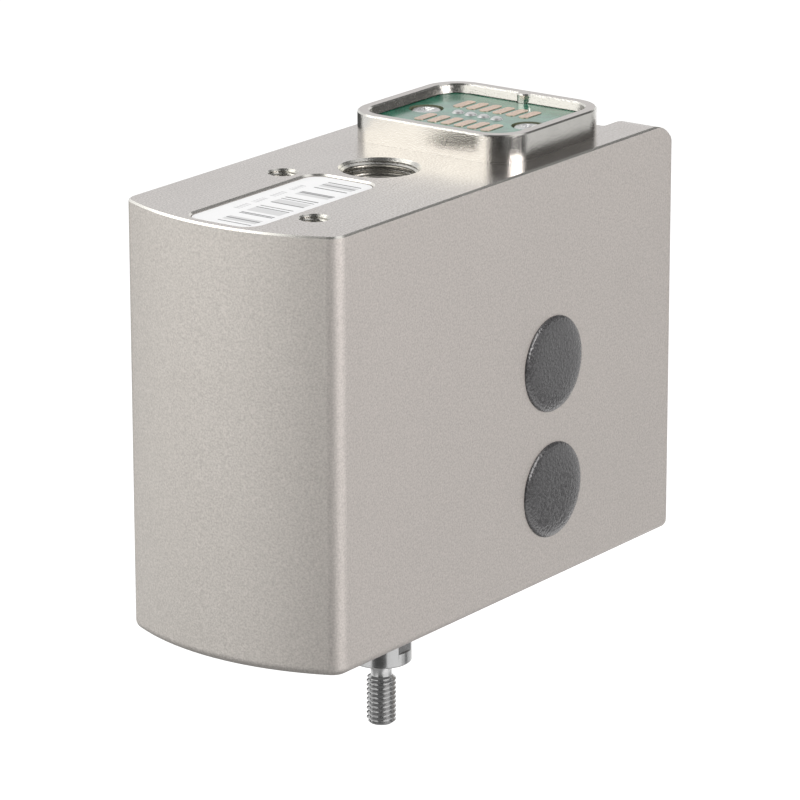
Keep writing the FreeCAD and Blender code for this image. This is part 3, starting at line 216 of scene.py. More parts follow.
def thread_rod(name, crest, root, pitch, low, high, steps, place=(0.0, 0.0)):
    """A rod with a right-hand thread: one tooth's outline wound upwards, then cut off level at both ends."""
    spare_turns = 2
    start()
    bpy.ops.mesh.primitive_plane_add(size=pitch, location=(root, 0, low - spare_turns * pitch))
    piece = named(name)
    open_whole()
    bpy.ops.mesh.merge(type="CENTER")
    flank, crest_flat, root_flat = 0.38 * pitch, 0.08 * pitch, 0.16 * pitch
    reach = crest - root
    for step in ((reach, 0, flank), (0, 0, crest_flat), (-reach, 0, flank), (0, 0, root_flat)):
        draw_out(step)
    bpy.ops.object.mode_set(mode="OBJECT")
    bpy.ops.object.transform_apply(location=True, rotation=True, scale=True)
    winding = piece.modifiers.new("winding", "SCREW")
    winding.axis = "Z"
    winding.screw_offset = pitch
    winding.iterations = int((high - low) / pitch) + 2 * spare_turns
    winding.steps = winding.render_steps = steps
    winding.use_merge_vertices = True
    winding.merge_threshold = MERGE_GAP
    bpy.ops.object.modifier_apply(modifier=winding.name)
    reopen(piece)
    bpy.ops.mesh.remove_doubles(threshold=WINDING_GAP)
    for height, inner in ((low, True), (high, False)):
        bpy.ops.mesh.select_all(action="SELECT")
        bpy.ops.mesh.bisect(plane_co=(0, 0, height), plane_no=(0, 0, 1), use_fill=True, threshold=MERGE_GAP,
                            clear_inner=inner, clear_outer=not inner)
    bpy.ops.mesh.select_all(action="SELECT")
    bpy.ops.transform.translate(value=(place[0], place[1], 0))
    return close(piece)


def combine(piece, tool, operation):
    """Join a piece with another solid, cut the other from it or keep what both share."""
    take(piece)
    modifier = piece.modifiers.new("combine", "BOOLEAN")
    modifier.operation = operation
    modifier.solver = "EXACT"
    modifier.object = tool
    bpy.ops.object.modifier_apply(modifier=modifier.name)
    bpy.data.objects.remove(tool)
    return close(piece)


def smooth(piece, degrees=30.0):
    """Shade a piece smooth up to an angle between faces, with its large faces kept true."""
    take(piece)
    bpy.ops.object.shade_smooth_by_angle(angle=math.radians(degrees))
    true_faces = piece.modifiers.new("true_faces", "WEIGHTED_NORMAL")
    true_faces.keep_sharp = True
    bpy.ops.object.modifier_apply(modifier=true_faces.name)
    return piece


def copied(piece, name, move, turn=0.0, centre=(0.0, 0.0)):
    """A copy with its own mesh, turned about an upright line and moved."""
    take(piece)
    bpy.ops.object.duplicate(linked=False)
    twin = named(name)
    reopen(twin)
    bpy.ops.transform.rotate(value=turn, orient_axis="Z", center_override=(centre[0], centre[1], 0))
    bpy.ops.transform.translate(value=move)
    bpy.ops.object.mode_set(mode="OBJECT")
    return twin


def keep(piece, material, slot, *nodes):
    """Give a finished piece its material and fix it to the part in place of CAD nodes."""
    piece.data.materials.clear()
    piece.data.materials.append(material)
    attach(piece, BODY)
    if nodes:
        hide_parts(*nodes)
    return piece


def dress_node(name, material):
    """Put a material on a CAD node in place of its plain one."""
    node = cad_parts[name]
    node.data.materials.clear()
    node.data.materials.append(material)


# Finishes
GRAIN_RANGE = (0.3, 0.7)
MIX_SOCKETS = {"FLOAT": (2, 3, 0), "RGBA": (6, 7, 2)}
# Bare laminate on the board's side faces, darkened as painted shade in the recesses round the board's screws
SHADED_LAMINATE = (0.13, 0.14, 0.09, 1.0)
INK = (0.13, 0.13, 0.14, 1.0)


def bare_tree(owner):
    """Turn on the nodes of a material or world and clear them."""
    owner.use_nodes = True
    owner.node_tree.nodes.clear()
    return owner.node_tree


class Finish:
    """Builds the nodes of one material."""

    def __init__(self, name):
        self.material = bpy.data.materials.new(name)
        self.tree = bare_tree(self.material)
        output = self.add("ShaderNodeOutputMaterial")
        self.shader = self.add("ShaderNodeBsdfPrincipled")
        self.join(self.shader.outputs["BSDF"], output.inputs["Surface"])
        self.place = self.add("ShaderNodeTexCoord").outputs["Object"]

    def add(self, kind):
        return self.tree.nodes.new(kind)

    def join(self, source, target):
        self.tree.links.new(source, target)

    def feed(self, item, socket):
        """Join a socket to another one, or give it a plain number or colour."""
        if isinstance(item, bpy.types.NodeSocket):
            self.join(item, socket)
        else:
            socket.default_value = item

    def set(self, **values):
        """Set plain values on the shader's own sockets."""
        for name, number in values.items():
            self.shader.inputs[name.replace("_", " ")].default_value = number

    def link(self, source, socket):
        """Join a source to one of the shader's sockets."""
        self.join(source, self.shader.inputs[socket])

    def stretched(self, x, y, z):
        """The place on the object with each axis scaled."""
        mapping = self.add("ShaderNodeMapping")
        mapping.inputs["Scale"].default_value = (x, y, z)
        self.join(self.place, mapping.inputs["Vector"])
        return mapping.outputs["Vector"]

    def noise(self, size, detail=2.0, place=None):
        """Soft grain of a given size in metres, from 0 to 1."""
        texture = self.add("ShaderNodeTexNoise")
        texture.inputs["Scale"].default_value = 1.0 / size
        texture.inputs["Detail"].default_value = detail
        self.join(place or self.place, texture.inputs["Vector"])
        return texture.outputs["Fac"]

    def cells(self, size):
        """Pebbles of a given size in metres: 0 in the middle of each."""
        texture = self.add("ShaderNodeTexVoronoi")
        texture.inputs["Scale"].default_value = 1.0 / size
        self.join(self.place, texture.inputs["Vector"])
        return texture.outputs["Distance"]

    def sums(self, operation, *items):
        """One sum with plain numbers or sockets."""
        node = self.add("ShaderNodeMath")
        node.operation = operation
        for socket, item in zip(node.inputs, items):
            self.feed(item, socket)
        return node.outputs[0]

    def spread(self, source, low, high, to_low, to_high):
        """Map a value from one range to another, clamped."""
        node = self.add("ShaderNodeMapRange")
        for socket, number in zip(("From Min", "From Max", "To Min", "To Max"), (low, high, to_low, to_high)):
            node.inputs[socket].default_value = number
        self.join(source, node.inputs["Value"])
        return node.outputs["Result"]

    def graded(self, grain, to_low, to_high):
        """Map the usual range of a grain to another range, clamped."""
        return self.spread(grain, *GRAIN_RANGE, to_low, to_high)

    def mix(self, kind, factor, first, second):
        """Blend two numbers or two colours, each a plain one or a socket."""
        node = self.add("ShaderNodeMix")
        node.data_type = kind
        one, other, result = MIX_SOCKETS[kind]
        self.join(factor, node.inputs["Factor"])
        self.feed(first, node.inputs[one])
        self.feed(second, node.inputs[other])
        return node.outputs[result]

    def blend(self, factor, first, second):
        return self.mix("RGBA", factor, first, second)

    def mixed(self, factor, first, second):
        return self.mix("FLOAT", factor, first, second)

    def toned(self, factor, base, low, high):
        """Blend two tints of one colour."""
        return self.blend(factor, tint(base, low), tint(base, high))

    def bump(self, height, distance, strength, below=None):
        """Fine relief in the surface, over another relief if one is given."""
        node = self.add("ShaderNodeBump")
        node.inputs["Distance"].default_value = distance
        self.feed(strength, node.inputs["Strength"])
        self.join(height, node.inputs["Height"])
        if below is not None:
            self.join(below, node.inputs["Normal"])
        return node.outputs["Normal"]

    def axis(self, name, source=None):
        """One axis of the place on the object, or of another vector."""
        node = self.add("ShaderNodeSeparateXYZ")
        self.join(source or self.place, node.inputs["Vector"])
        return node.outputs[name]

    def facing_up(self, low=0.9, high=0.97):
        """1 on faces that look straight up, 0 elsewhere."""
        geometry = self.add("ShaderNodeNewGeometry")
        return self.spread(self.axis("Z", geometry.outputs["True Normal"]), low, high, 0.0, 1.0)


def tint(base, factor):
    """A colour made lighter or darker."""
    return (base[0] * factor, base[1] * factor, base[2] * factor, 1.0)


def housing_nickel(colours):
    """Bead-blasted walls with a fine sparkle, a smoother milled top face, and chamfers round the top lifted
    bright as a painted highlight.
    """
    finish = Finish("housing_nickel")
    finish.set(Metallic=1.0)
    grain = finish.noise(0.30 * MM, 3.0)
    fine = finish.noise(0.13 * MM, 2.0)
    clouds = finish.noise(14 * MM, 2.0)
    height = finish.axis("Z")
    near_top = finish.spread(height, -0.9 * MM, -0.6 * MM, 0.0, 1.0)
    top = finish.sums("MULTIPLY", finish.facing_up(0.4, 0.55), near_top)
    flat = finish.facing_up()
    blasted = finish.toned(finish.graded(grain, 0.0, 1.0), colours.blasted, 0.84, 1.12)
    glints = finish.spread(fine, 0.66, 0.76, 0.0, 0.7)
    sparkling = finish.blend(glints, blasted, tint(colours.blasted, 1.5))
    lanes = finish.noise(0.5 * MM, 3.0, finish.stretched(1.0, 0.03, 1.0))
    worn = finish.sums("MULTIPLY_ADD", grain, 0.88, finish.sums("MULTIPLY", lanes, 0.12))
    milled = finish.toned(finish.graded(worn, 0.0, 1.0), colours.milled, 0.7, 1.3)
    # Chamfers round the top face: a bright cut edge, lifted further in colour as a painted highlight
    cut = finish.blend(flat, tint(colours.bright, 1.22), milled)
    finish.link(finish.blend(top, sparkling, cut), "Base Color")
    blasted_rough = finish.graded(clouds, 0.565, 0.595)
    milled_rough = finish.graded(clouds, 0.22, 0.28)
    finish.link(finish.mixed(top, blasted_rough, milled_rough), "Roughness")
    dents = finish.bump(finish.sums("ADD", grain, fine), 0.03 * MM, finish.mixed(top, 0.55, 0.1))
    finish.link(finish.bump(lanes, 0.004 * MM, finish.mixed(top, 0.0, 0.08), dents), "Normal")
    return finish.material


def collar_nickel(colours):
    """Bright nickel walls with faint lines and a fine tooth, and a satin rim."""
    finish = Finish("collar_nickel")
    finish.set(Metallic=1.0)
    lines = finish.noise(0.35 * MM, 2.0, finish.stretched(0.02, 0.02, 1.0))
    tooth = finish.noise(0.22 * MM, 2.0)
    smudge = finish.noise(6 * MM, 2.0)
    rim = finish.facing_up()
    walls = finish.toned(finish.spread(smudge, 0.35, 0.65, 0.0, 1.0), colours.bright, 0.96, 1.02)
    finish.link(finish.blend(rim, walls, colours.milled), "Base Color")
    finish.link(finish.mixed(rim, finish.graded(smudge, 0.12, 0.16), 0.3), "Roughness")
    toothed = finish.bump(tooth, 0.042 * MM, 0.8)
    finish.link(finish.bump(lines, 0.004 * MM, 0.5, toothed), "Normal")
    return finish.material


def turned_steel(name, base, rough_low, rough_high, pitted=0.0):
    """Turned steel with fine rings round the upright axis, pitted or clean."""
    finish = Finish(name)
    finish.set(Metallic=1.0)
    rings = finish.noise(0.16 * MM, 2.0, finish.stretched(0.03, 0.03, 1.0))
    haze = finish.noise(2.5 * MM, 3.0)
    finish.link(finish.toned(haze, base, 0.92, 1.06), "Base Color")
    finish.link(finish.graded(haze, rough_low, rough_high), "Roughness")
    pits = finish.bump(finish.noise(0.3 * MM, 2.0), 0.18 * MM, pitted)
    finish.link(finish.bump(rings, 0.004 * MM, 0.4, pits), "Normal")
    return finish.material


def thread_nickel(colours):
    """Nickel on cut threads, with tool chatter along the ridges."""
    finish = Finish("thread_nickel")
    finish.set(Metallic=1.0)
    chatter = finish.noise(0.27 * MM, 3.0, finish.stretched(1.0, 1.0, 2.0))
    finish.link(finish.toned(chatter, colours.bright, 0.6, 1.08), "Base Color")
    finish.link(finish.graded(chatter, 0.14, 0.26), "Roughness")
    finish.link(finish.bump(chatter, 0.06 * MM, 0.6), "Normal")
    return finish.material


def board_lacquer(colours):
    """Glossy green lacquer over copper fields, with bare laminate on faces that don't look up, darkened as
    painted shade.
    """
    finish = Finish("board_lacquer")
    finish.set(IOR=1.5, Coat_Weight=0.35, Coat_Roughness=0.1, Coat_IOR=1.5)
    fields = finish.noise(4.5 * MM, 1.0, finish.stretched(1.0, 1.6, 0.0))
    copper = finish.spread(fields, 0.50, 0.53, 0.0, 1.0)
    weave = finish.noise(0.35 * MM, 2.0)
    lacquer = finish.toned(copper, colours.board, 0.85, 1.15)
    woven = finish.blend(finish.graded(weave, 0.0, 0.35), lacquer, tint(colours.board, 0.8))
    finish.link(finish.blend(finish.facing_up(0.3, 0.6), SHADED_LAMINATE, woven), "Base Color")
    finish.link(finish.graded(weave, 0.16, 0.24), "Roughness")
    relief = finish.sums("ADD", finish.sums("MULTIPLY", copper, 2.0), weave)
    finish.link(finish.bump(relief, 0.006 * MM, 0.35), "Normal")
    return finish.material


def contact_gold(colours):
    """Pale gold plate with rubbed contact faces."""
    finish = Finish("contact_gold")
    finish.set(Metallic=0.85)
    rubbed = finish.noise(0.8 * MM, 3.0, finish.stretched(1.0, 0.25, 1.0))
    pits = finish.spread(finish.noise(0.3 * MM, 2.0), 0.58, 0.68, 0.0, 0.7)
    plate = finish.toned(finish.graded(rubbed, 0.0, 1.0), colours.pads, 0.9, 1.1)
    finish.link(finish.blend(pits, plate, tint(colours.pads, 0.4)), "Base Color")
    finish.link(finish.graded(rubbed, 0.3, 0.42), "Roughness")
    finish.link(finish.bump(rubbed, 0.004 * MM, 0.3), "Normal")
    return finish.material


def solder_silver(colours):
    """Dull silver with the soft skin of cooled solder."""
    finish = Finish("solder_silver")
    finish.set(Metallic=1.0)
    skin = finish.noise(0.45 * MM, 3.0)
    finish.link(finish.toned(skin, colours.solder, 0.88, 1.08), "Base Color")
    finish.link(finish.graded(skin, 0.3, 0.45), "Roughness")
    finish.link(finish.bump(skin, 0.04 * MM, 0.4), "Normal")
    return finish.material


def plug_plastic(colours):
    """Charcoal plastic with a moulded pebble grain."""
    finish = Finish("plug_plastic")
    finish.set(Coat_Weight=0.6, Coat_Roughness=0.14)
    pebbles = finish.cells(0.5 * MM)
    grain = finish.noise(0.42 * MM, 2.0)
    finish.link(finish.toned(finish.graded(grain, 0.0, 1.0), colours.plug, 0.65, 1.3), "Base Color")
    finish.link(finish.graded(grain, 0.2, 0.32), "Roughness")
    crowns = finish.spread(pebbles, 0.0, 0.7, 1.0, 0.0)
    raised = finish.sums("ADD", crowns, finish.sums("MULTIPLY", grain, 0.5))
    finish.link(finish.bump(raised, 0.06 * MM, 1.0), "Normal")
    finish.link(finish.bump(raised, 0.028 * MM, 1.0), "Coat Normal")
    return finish.material


def label_paper(colours):
    """White paper with plain printed bars and a fine row of ticks beside them."""
    finish = Finish("label_paper")
    across, along = finish.axis("X"), finish.axis("Y")

    def band(source, low, high, soft=0.05 * MM):
        """1 between two places, 0 elsewhere, with soft edges."""
        rise = finish.spread(source, low - soft, low + soft, 0.0, 1.0)
        fall = finish.spread(source, high - soft, high + soft, 1.0, 0.0)
        return finish.sums("MULTIPLY", rise, fall)

    def stripes(step, shift, width):
        """Stripes across the label, one in each step along it."""
        steps = finish.sums("MULTIPLY_ADD", along, 1.0 / step, 100.0 + shift)
        return finish.sums("LESS_THAN", finish.sums("FRACT", steps), width / step)

    bars_across, bars_along = (-1.7 * MM, 4.7 * MM), (-40.3 * MM, -10.2 * MM)
    ticks_across, ticks_along = (-4.3 * MM, -3.1 * MM), (-33.0 * MM, -14.0 * MM)
    field = finish.sums("MULTIPLY", band(across, *bars_across), band(along, *bars_along))
    lines = finish.sums("MAXIMUM", stripes(3.7 * MM, 0.1, 0.36 * MM), stripes(5.3 * MM, 0.45, 0.3 * MM))
    dark = finish.sums("MULTIPLY", field, lines)
    pale = finish.sums("MULTIPLY", field, stripes(6.1 * MM, 0.3, 2.2 * MM))
    row = finish.sums("MULTIPLY", band(across, *ticks_across), band(along, *ticks_along))
    gaps = finish.sums("SUBTRACT", 1.0, stripes(4.7 * MM, 0.2, 1.3 * MM))
    ticks = finish.sums("MULTIPLY", row, finish.sums("MULTIPLY", gaps, stripes(0.7 * MM, 0.0, 0.28 * MM)))
    fibre = finish.noise(0.25 * MM, 3.0)
    paper = finish.toned(fibre, colours.label, 0.97, 1.0)
    greyed = finish.blend(pale, paper, tint(colours.label, 0.72))
    inked = finish.sums("MAXIMUM", dark, finish.sums("MULTIPLY", ticks, 0.5))
    finish.link(finish.blend(inked, greyed, INK), "Base Color")
    finish.link(finish.graded(fibre, 0.42, 0.5), "Roughness")
    finish.link(finish.bump(fibre, 0.006 * MM, 0.2), "Normal")
    return finish.material


def moulded(name, base, rough):
    """Plain moulded plastic with a soft skin."""
    finish = Finish(name)
    skin = finish.noise(0.6 * MM, 3.0)
    finish.link(finish.toned(skin, base, 0.9, 1.1), "Base Color")
    finish.link(finish.graded(skin, rough - 0.05, rough + 0.05), "Roughness")
    finish.link(finish.bump(skin, 0.02 * MM, 0.2), "Normal")
    return finish.material


def machined(name, base, rough):
    """Machined metal with straight tool marks."""
    finish = Finish(name)
    finish.set(Metallic=1.0)
    marks = finish.noise(0.4 * MM, 3.0, finish.stretched(0.05, 1.0, 1.0))
    finish.link(finish.toned(marks, base, 0.92, 1.06), "Base Color")
    finish.link(finish.graded(marks, rough - 0.04, rough + 0.06), "Roughness")
    finish.link(finish.bump(marks, 0.006 * MM, 0.35), "Normal")
    return finish.material


# Pieces
# Fine sizes of the threads in the top face: places, countersinks, the mounting thread's groove, steps round
SIDE_THREADS = {"left_side_thread": (-10.6 * MM, -11.5 * MM), "right_side_thread": (10.6 * MM, -31.2 * MM)}
MOUNT_MOUTH, SIDE_MOUTH = 0.35 * MM, 0.15 * MM
MOUNT_GROOVE = (2.3 * MM, 2.6 * MM)
MOUNT_STEPS, SIDE_STEPS = 96, 64

# The collar's lead-in in two slopes: shares of its inset and of its drop
LEAD_SLOPES = ((0.85, 0.6), (0.15, 0.4))

# Outlines: a solder dome in shares of its radius and height, a plug's dome in shares of its radius
SOLDER_OUTLINE = ((1.0, 0.0), (0.93, 0.10), (0.84, 0.32), (0.72, 0.55), (0.56, 0.76), (0.38, 0.90),
                  (0.2, 0.975), (0.06, 1.0))
DOME_STATIONS = (1.0, 0.985, 0.96, 0.925, 0.88, 0.82, 0.74, 0.64, 0.52, 0.38, 0.22, 0.06)

# How many solder domes there are, and how far each copy is turned from the one before it, in radians
SOLDER_COUNT = 4
SOLDER_TURN, BOARD_SCREW_TURN = 0.7, 0.5

# A board screw's rounded head: inset from its rim and drop from its top, in millimetres
HEAD_OUTLINE = ((0, 0.42), (0.05, 0.27), (0.17, 0.17), (0.4, 0.11), (0.9, 0.05), (1.6, 0.01), (2.2, 0))
RECESS_TAPER = 0.45

# Heights on the shaft, from the top face
SHOULDER, SHAFT_END = -63.6 * MM, -82.85 * MM
FLATS_TOP, FLATS_BOTTOM = -72.9 * MM, -80.7 * MM
NECK_FOOT, THREAD_TOP = -86.2 * MM, -85.2 * MM
RUNOUT_LOW, RUNOUT_HIGH = -85.95 * MM, -85.4 * MM

# Colours of the pieces inside
FOIL, BLACK = (0.55, 0.33, 0.08), (0.03, 0.03, 0.03)
IVORY, JACKET = (0.75, 0.74, 0.70), (0.10, 0.10, 0.11)


def recess_cutter(name, half, clear, top, depth, place):
    """A square block that tapers into a screw's head, downwards or, with a depth under 0, upwards."""
    start()
    bpy.ops.mesh.primitive_cube_add(size=2 * half, location=(place[0], place[1], top))
    cutter = named(name)
    bpy.ops.object.mode_set(mode="EDIT")
    outer = 1 if depth > 0 else -1
    for side, height in ((outer, outer * clear), (-outer, -depth)):
        pick(cutter, "verts", lambda corner: side * corner.co.z > 0)
        bpy.ops.transform.translate(value=(0, 0, height - side * half))
    bpy.ops.transform.resize(value=(RECESS_TAPER, RECESS_TAPER, 1),
                             center_override=(place[0], place[1], top - depth))
    return close(cutter)


class SENSOR_OT_housing(bpy.types.Operator):
    """Give the housing and its cover their plated finish"""

    bl_idname = "sensor.housing"
    bl_label = "Housing"

    def execute(self, context):
        colours = context.scene.sensor_finishes
        nickel = housing_nickel(colours)
        for name in ("housing", "bottom_cover"):
            dress_node(name, nickel)
        return {"FINISHED"}


class SENSOR_OT_threads(bpy.types.Operator):
    """Cut the threads of the three holes in the top face"""

    bl_idname = "sensor.threads"
    bl_label = "Threads in the top face"

    def sleeve(self, name, place, radius, depth, pitch, ridge, mouth, steps, groove=None):
        """A sleeve that lines the plain hole and its countersink and carries the thread."""
        skin = 0.01 * MM
        outside = radius - skin
        inside = radius - ridge
        low = -depth
        root = outside - 2 * skin
        lining = [(outside, low), (outside, -mouth), (outside + mouth - skin, -skin)]
        sleeve = turned(name, lining, steps, place)
        wide = outside + mouth - 4 * skin
        bore = turned(name + "_bore", [(inside, low - pitch), (inside, inside - wide - skin),
                                       (wide + mouth, mouth - skin)], steps, place)
        combine(sleeve, bore, "DIFFERENCE")
        tap = thread_rod(name + "_tap", root, inside - 2 * skin, pitch, low - pitch / 2, 0.0, steps, place)
        combine(sleeve, tap, "DIFFERENCE")
        if groove:
            ring = turned(name + "_groove", [(root, -groove[1]), (root, -groove[0])], steps, place)
            combine(sleeve, ring, "DIFFERENCE")
        return smooth(sleeve)

    def execute(self, context):
        sizes = context.scene.sensor_sizes
        nickel = thread_nickel(context.scene.sensor_finishes)
        keep(self.sleeve("mounting_thread", (0, 0), sizes.mount_radius, sizes.mount_depth, sizes.mount_pitch,
                         sizes.mount_ridge, MOUNT_MOUTH, MOUNT_STEPS, MOUNT_GROOVE), nickel, "bright_nickel")
        for name, place in SIDE_THREADS.items():
            keep(self.sleeve(name, place, sizes.side_radius, sizes.side_depth, sizes.side_pitch,
                             sizes.side_ridge, SIDE_MOUTH, SIDE_STEPS), nickel, "bright_nickel")
        return {"FINISHED"}


class SENSOR_OT_collar(bpy.types.Operator):
    """Finish the connector collar, with the bead round its foot and the sloping lead-in inside"""

    bl_idname = "sensor.collar"
    bl_label = "Connector collar"

    def rounded(self, name, middle, half_x, half_y, corner, height):
        """A flat rounded rectangle, left open in edit mode with its face selected."""
        start()
        bpy.ops.mesh.primitive_plane_add(size=2.0, location=(middle.x, middle.y, height))
        piece = named(name)
        open_whole()
        bpy.ops.transform.resize(value=(half_x, half_y, 1))
        bpy.ops.mesh.bevel(offset=corner, segments=24, affect="VERTICES")
        bpy.ops.mesh.select_all(action="SELECT")
        return piece

    def execute(self, context):
        sizes = context.scene.sensor_sizes
        low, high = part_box("connector_collar")
        middle, half = (low + high) / 2, (high - low) / 2
        nickel = collar_nickel(context.scene.sensor_finishes)
        dress_node("connector_collar", nickel)
        skin = 0.004 * MM
        out, deep = sizes.collar_gap - skin, 0.3 * MM
        bead = self.rounded("collar_bead", middle, half.x + out, half.y + out,
                            sizes.collar_corner + out, -deep)
        bpy.ops.mesh.inset(thickness=out - skin)
        bpy.ops.mesh.delete(type="FACE")
        bpy.ops.mesh.select_all(action="SELECT")
        draw_out((0, 0, deep - skin))
        keep(smooth(close(bead)), nickel, "bright_nickel")
        wall = sizes.collar_wall + skin
        board_gap = 0.15 * MM
        top, foot = high.z - sizes.collar_rim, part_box("connector_board")[1].z + board_gap
        lead = self.rounded("collar_lead_in", middle, half.x - wall, half.y - wall,
                            sizes.collar_corner - wall, top)
        for part, drop in LEAD_SLOPES:
            bpy.ops.mesh.inset(thickness=part * sizes.collar_lead, depth=drop * (foot - top))
        bpy.ops.mesh.delete(type="FACE")
        pick(lead, "edges", lambda edge: all(corner.co.z > top - skin for corner in edge.verts))
        draw_out((0, 0, foot - top))
        pick(lead, "edges", lambda edge: all(corner.co.z < foot + skin for corner in edge.verts))
        bpy.ops.mesh.bridge_edge_loops()
        # The lead-in is the collar's bright nickel, darkened as painted shade inside the collar and given a
        # duller finish
        shaded = tint(context.scene.sensor_finishes.bright, 0.57)
        shaded_dull_nickel = turned_steel("lead_in_nickel", shaded, 0.2, 0.3, 0.3)
        keep(smooth(close(lead)), shaded_dull_nickel, "bright_nickel")
        return {"FINISHED"}


class SENSOR_OT_board(bpy.types.Operator):
    """Finish the printed boards, the contacts and the solder domes"""

    bl_idname = "sensor.board"
    bl_label = "Connector board"

    def execute(self, context):
        sizes, colours = context.scene.sensor_sizes, context.scene.sensor_finishes
        lacquer = board_lacquer(colours)
        for name in ("connector_board", "terminal_board"):
            dress_node(name, lacquer)
        gold = contact_gold(colours)
        for name in ("contact_pads", "header_pins"):
            dress_node(name, gold)
        low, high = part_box("solder_joints")
        row = (low.y + high.y) / 2
        first = low.x + sizes.solder_radius
        spacing = (high.x - low.x - 2 * sizes.solder_radius) / (SOLDER_COUNT - 1)
        board = low.z
        profile = [(r * sizes.solder_radius, board + z * sizes.solder_height) for r, z in SOLDER_OUTLINE]
        silver = solder_silver(colours)
        dome = turned("solder_dome_1", profile, 48, (first, row))
        smooth(dome, 60.0)
        domes = [dome]
        for index in range(1, SOLDER_COUNT):
            domes.append(copied(dome, "solder_dome_%d" % (index + 1), (index * spacing, 0, 0),
                                SOLDER_TURN * index, (first, row)))
        for piece in domes:
            keep(piece, silver, "solder", "solder_joints")
        return {"FINISHED"}


class SENSOR_OT_screws(bpy.types.Operator):
    """Model the board's screws and the cover's screws with their square recesses"""

    bl_idname = "sensor.screws"
    bl_label = "Screws"

    def execute(self, context):
        sizes = context.scene.sensor_sizes
        steel = turned_steel("screw_steel", context.scene.sensor_finishes.steel, 0.24, 0.34)
        low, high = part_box("board_screws")
        head = sizes.board_screw_head
        place = (low.x + head, (low.y + high.y) / 2)
        top = high.z
        seat = top - 0.85 * MM
        shank, point = 1.25 * MM, 0.25 * MM
        profile = [(shank - point, low.z), (shank, low.z + point), (shank, seat), (head, seat)]
        profile += [(head - inset * MM, top - drop * MM) for inset, drop in HEAD_OUTLINE]
        screw = turned("board_screw_left", profile, 72, place)
        recess = recess_cutter("driver", 1.25 * MM, 0.18 * MM, top, 0.6 * MM, place)
        combine(screw, recess, "DIFFERENCE")
        smooth(screw)
        apart = high.x - low.x - 2 * head
        other = copied(screw, "board_screw_right", (apart, 0, 0), BOARD_SCREW_TURN, place)
        paler = tint(context.scene.sensor_finishes.steel, 1.2)
        pitted = turned_steel("board_screw_steel", paler, 0.2, 0.32, 1.0)
        for piece in (screw, other):
            keep(piece, pitted, "steel", "board_screws")
        low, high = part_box("cover_screws")
        head = sizes.cover_screw_head
        shank, point = 1.5 * MM, 0.3 * MM
        bottom = low.z
        place = (low.x + head, low.y + head)
        profile = [(head, bottom), (shank, bottom + head - shank), (shank, high.z - point),
                   (shank - point, high.z)]
        first = turned("cover_screw_1", profile, 64, place)
        recess = recess_cutter("driver", 1.5 * MM, 0.275 * MM, bottom, -1.2 * MM, place)
        combine(first, recess, "DIFFERENCE")
        smooth(first)
        across, along = high.x - low.x - 2 * head, high.y - low.y - 2 * head
        screws = [first]
        for index, move in enumerate(((across, 0, 0), (0, along, 0), (across, along, 0))):
            screws.append(copied(first, "cover_screw_%d" % (index + 2), move, 0.4 + 0.9 * index, place))
        for piece in screws:
            keep(piece, steel, "steel", "cover_screws")
        return {"FINISHED"}


class SENSOR_OT_label(bpy.types.Operator):
    """Print the label with plain bars"""

    bl_idname = "sensor.label"
    bl_label = "Label"

    def execute(self, context):
        dress_node("serial_label", label_paper(context.scene.sensor_finishes))
        return {"FINISHED"}


class SENSOR_OT_plugs(bpy.types.Operator):
    """Model the two snap-in hole plugs with their low domes"""

    bl_idname = "sensor.plugs"
    bl_label = "Hole plugs"

    def execute(self, context):
        sizes = context.scene.sensor_sizes
        low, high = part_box("upper_plug")
        middle, head = (low + high) / 2, (high.z - low.z) / 2
        wall = high.x - sizes.plug_crown
        end = low.x - wall
        profile = [(sizes.plug_bead, end), (sizes.plug_bead, end + sizes.plug_bead_length),
                   (sizes.plug_stem, end + sizes.plug_bead_length), (sizes.plug_stem, 0.0), (head, 0.0)]
        dome = sizes.plug_crown - sizes.plug_rim
        for part in DOME_STATIONS:
            profile.append((part * head, sizes.plug_rim + dome * math.sqrt(1 - part ** 4)))
        plug = turned("upper_hole_plug", profile, 128)
        bore = turned("plug_bore", [(sizes.plug_bore, 2 * end), (sizes.plug_bore, 0.0)], 64)
        combine(plug, bore, "DIFFERENCE")
        reopen(plug)
        bpy.ops.transform.rotate(value=-math.pi / 2, orient_axis="Y", center_override=(0, 0, 0))
        bpy.ops.transform.translate(value=(wall, middle.y, middle.z))
        smooth(close(plug))
        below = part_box("lower_plug")
        other = copied(plug, "lower_hole_plug", (0, 0, (below[0].z + below[1].z) / 2 - middle.z))
        plastic = plug_plastic(context.scene.sensor_finishes)
        keep(plug, plastic, "black_plastic", "upper_plug")
        keep(other, plastic, "black_plastic", "lower_plug")
        return {"FINISHED"}


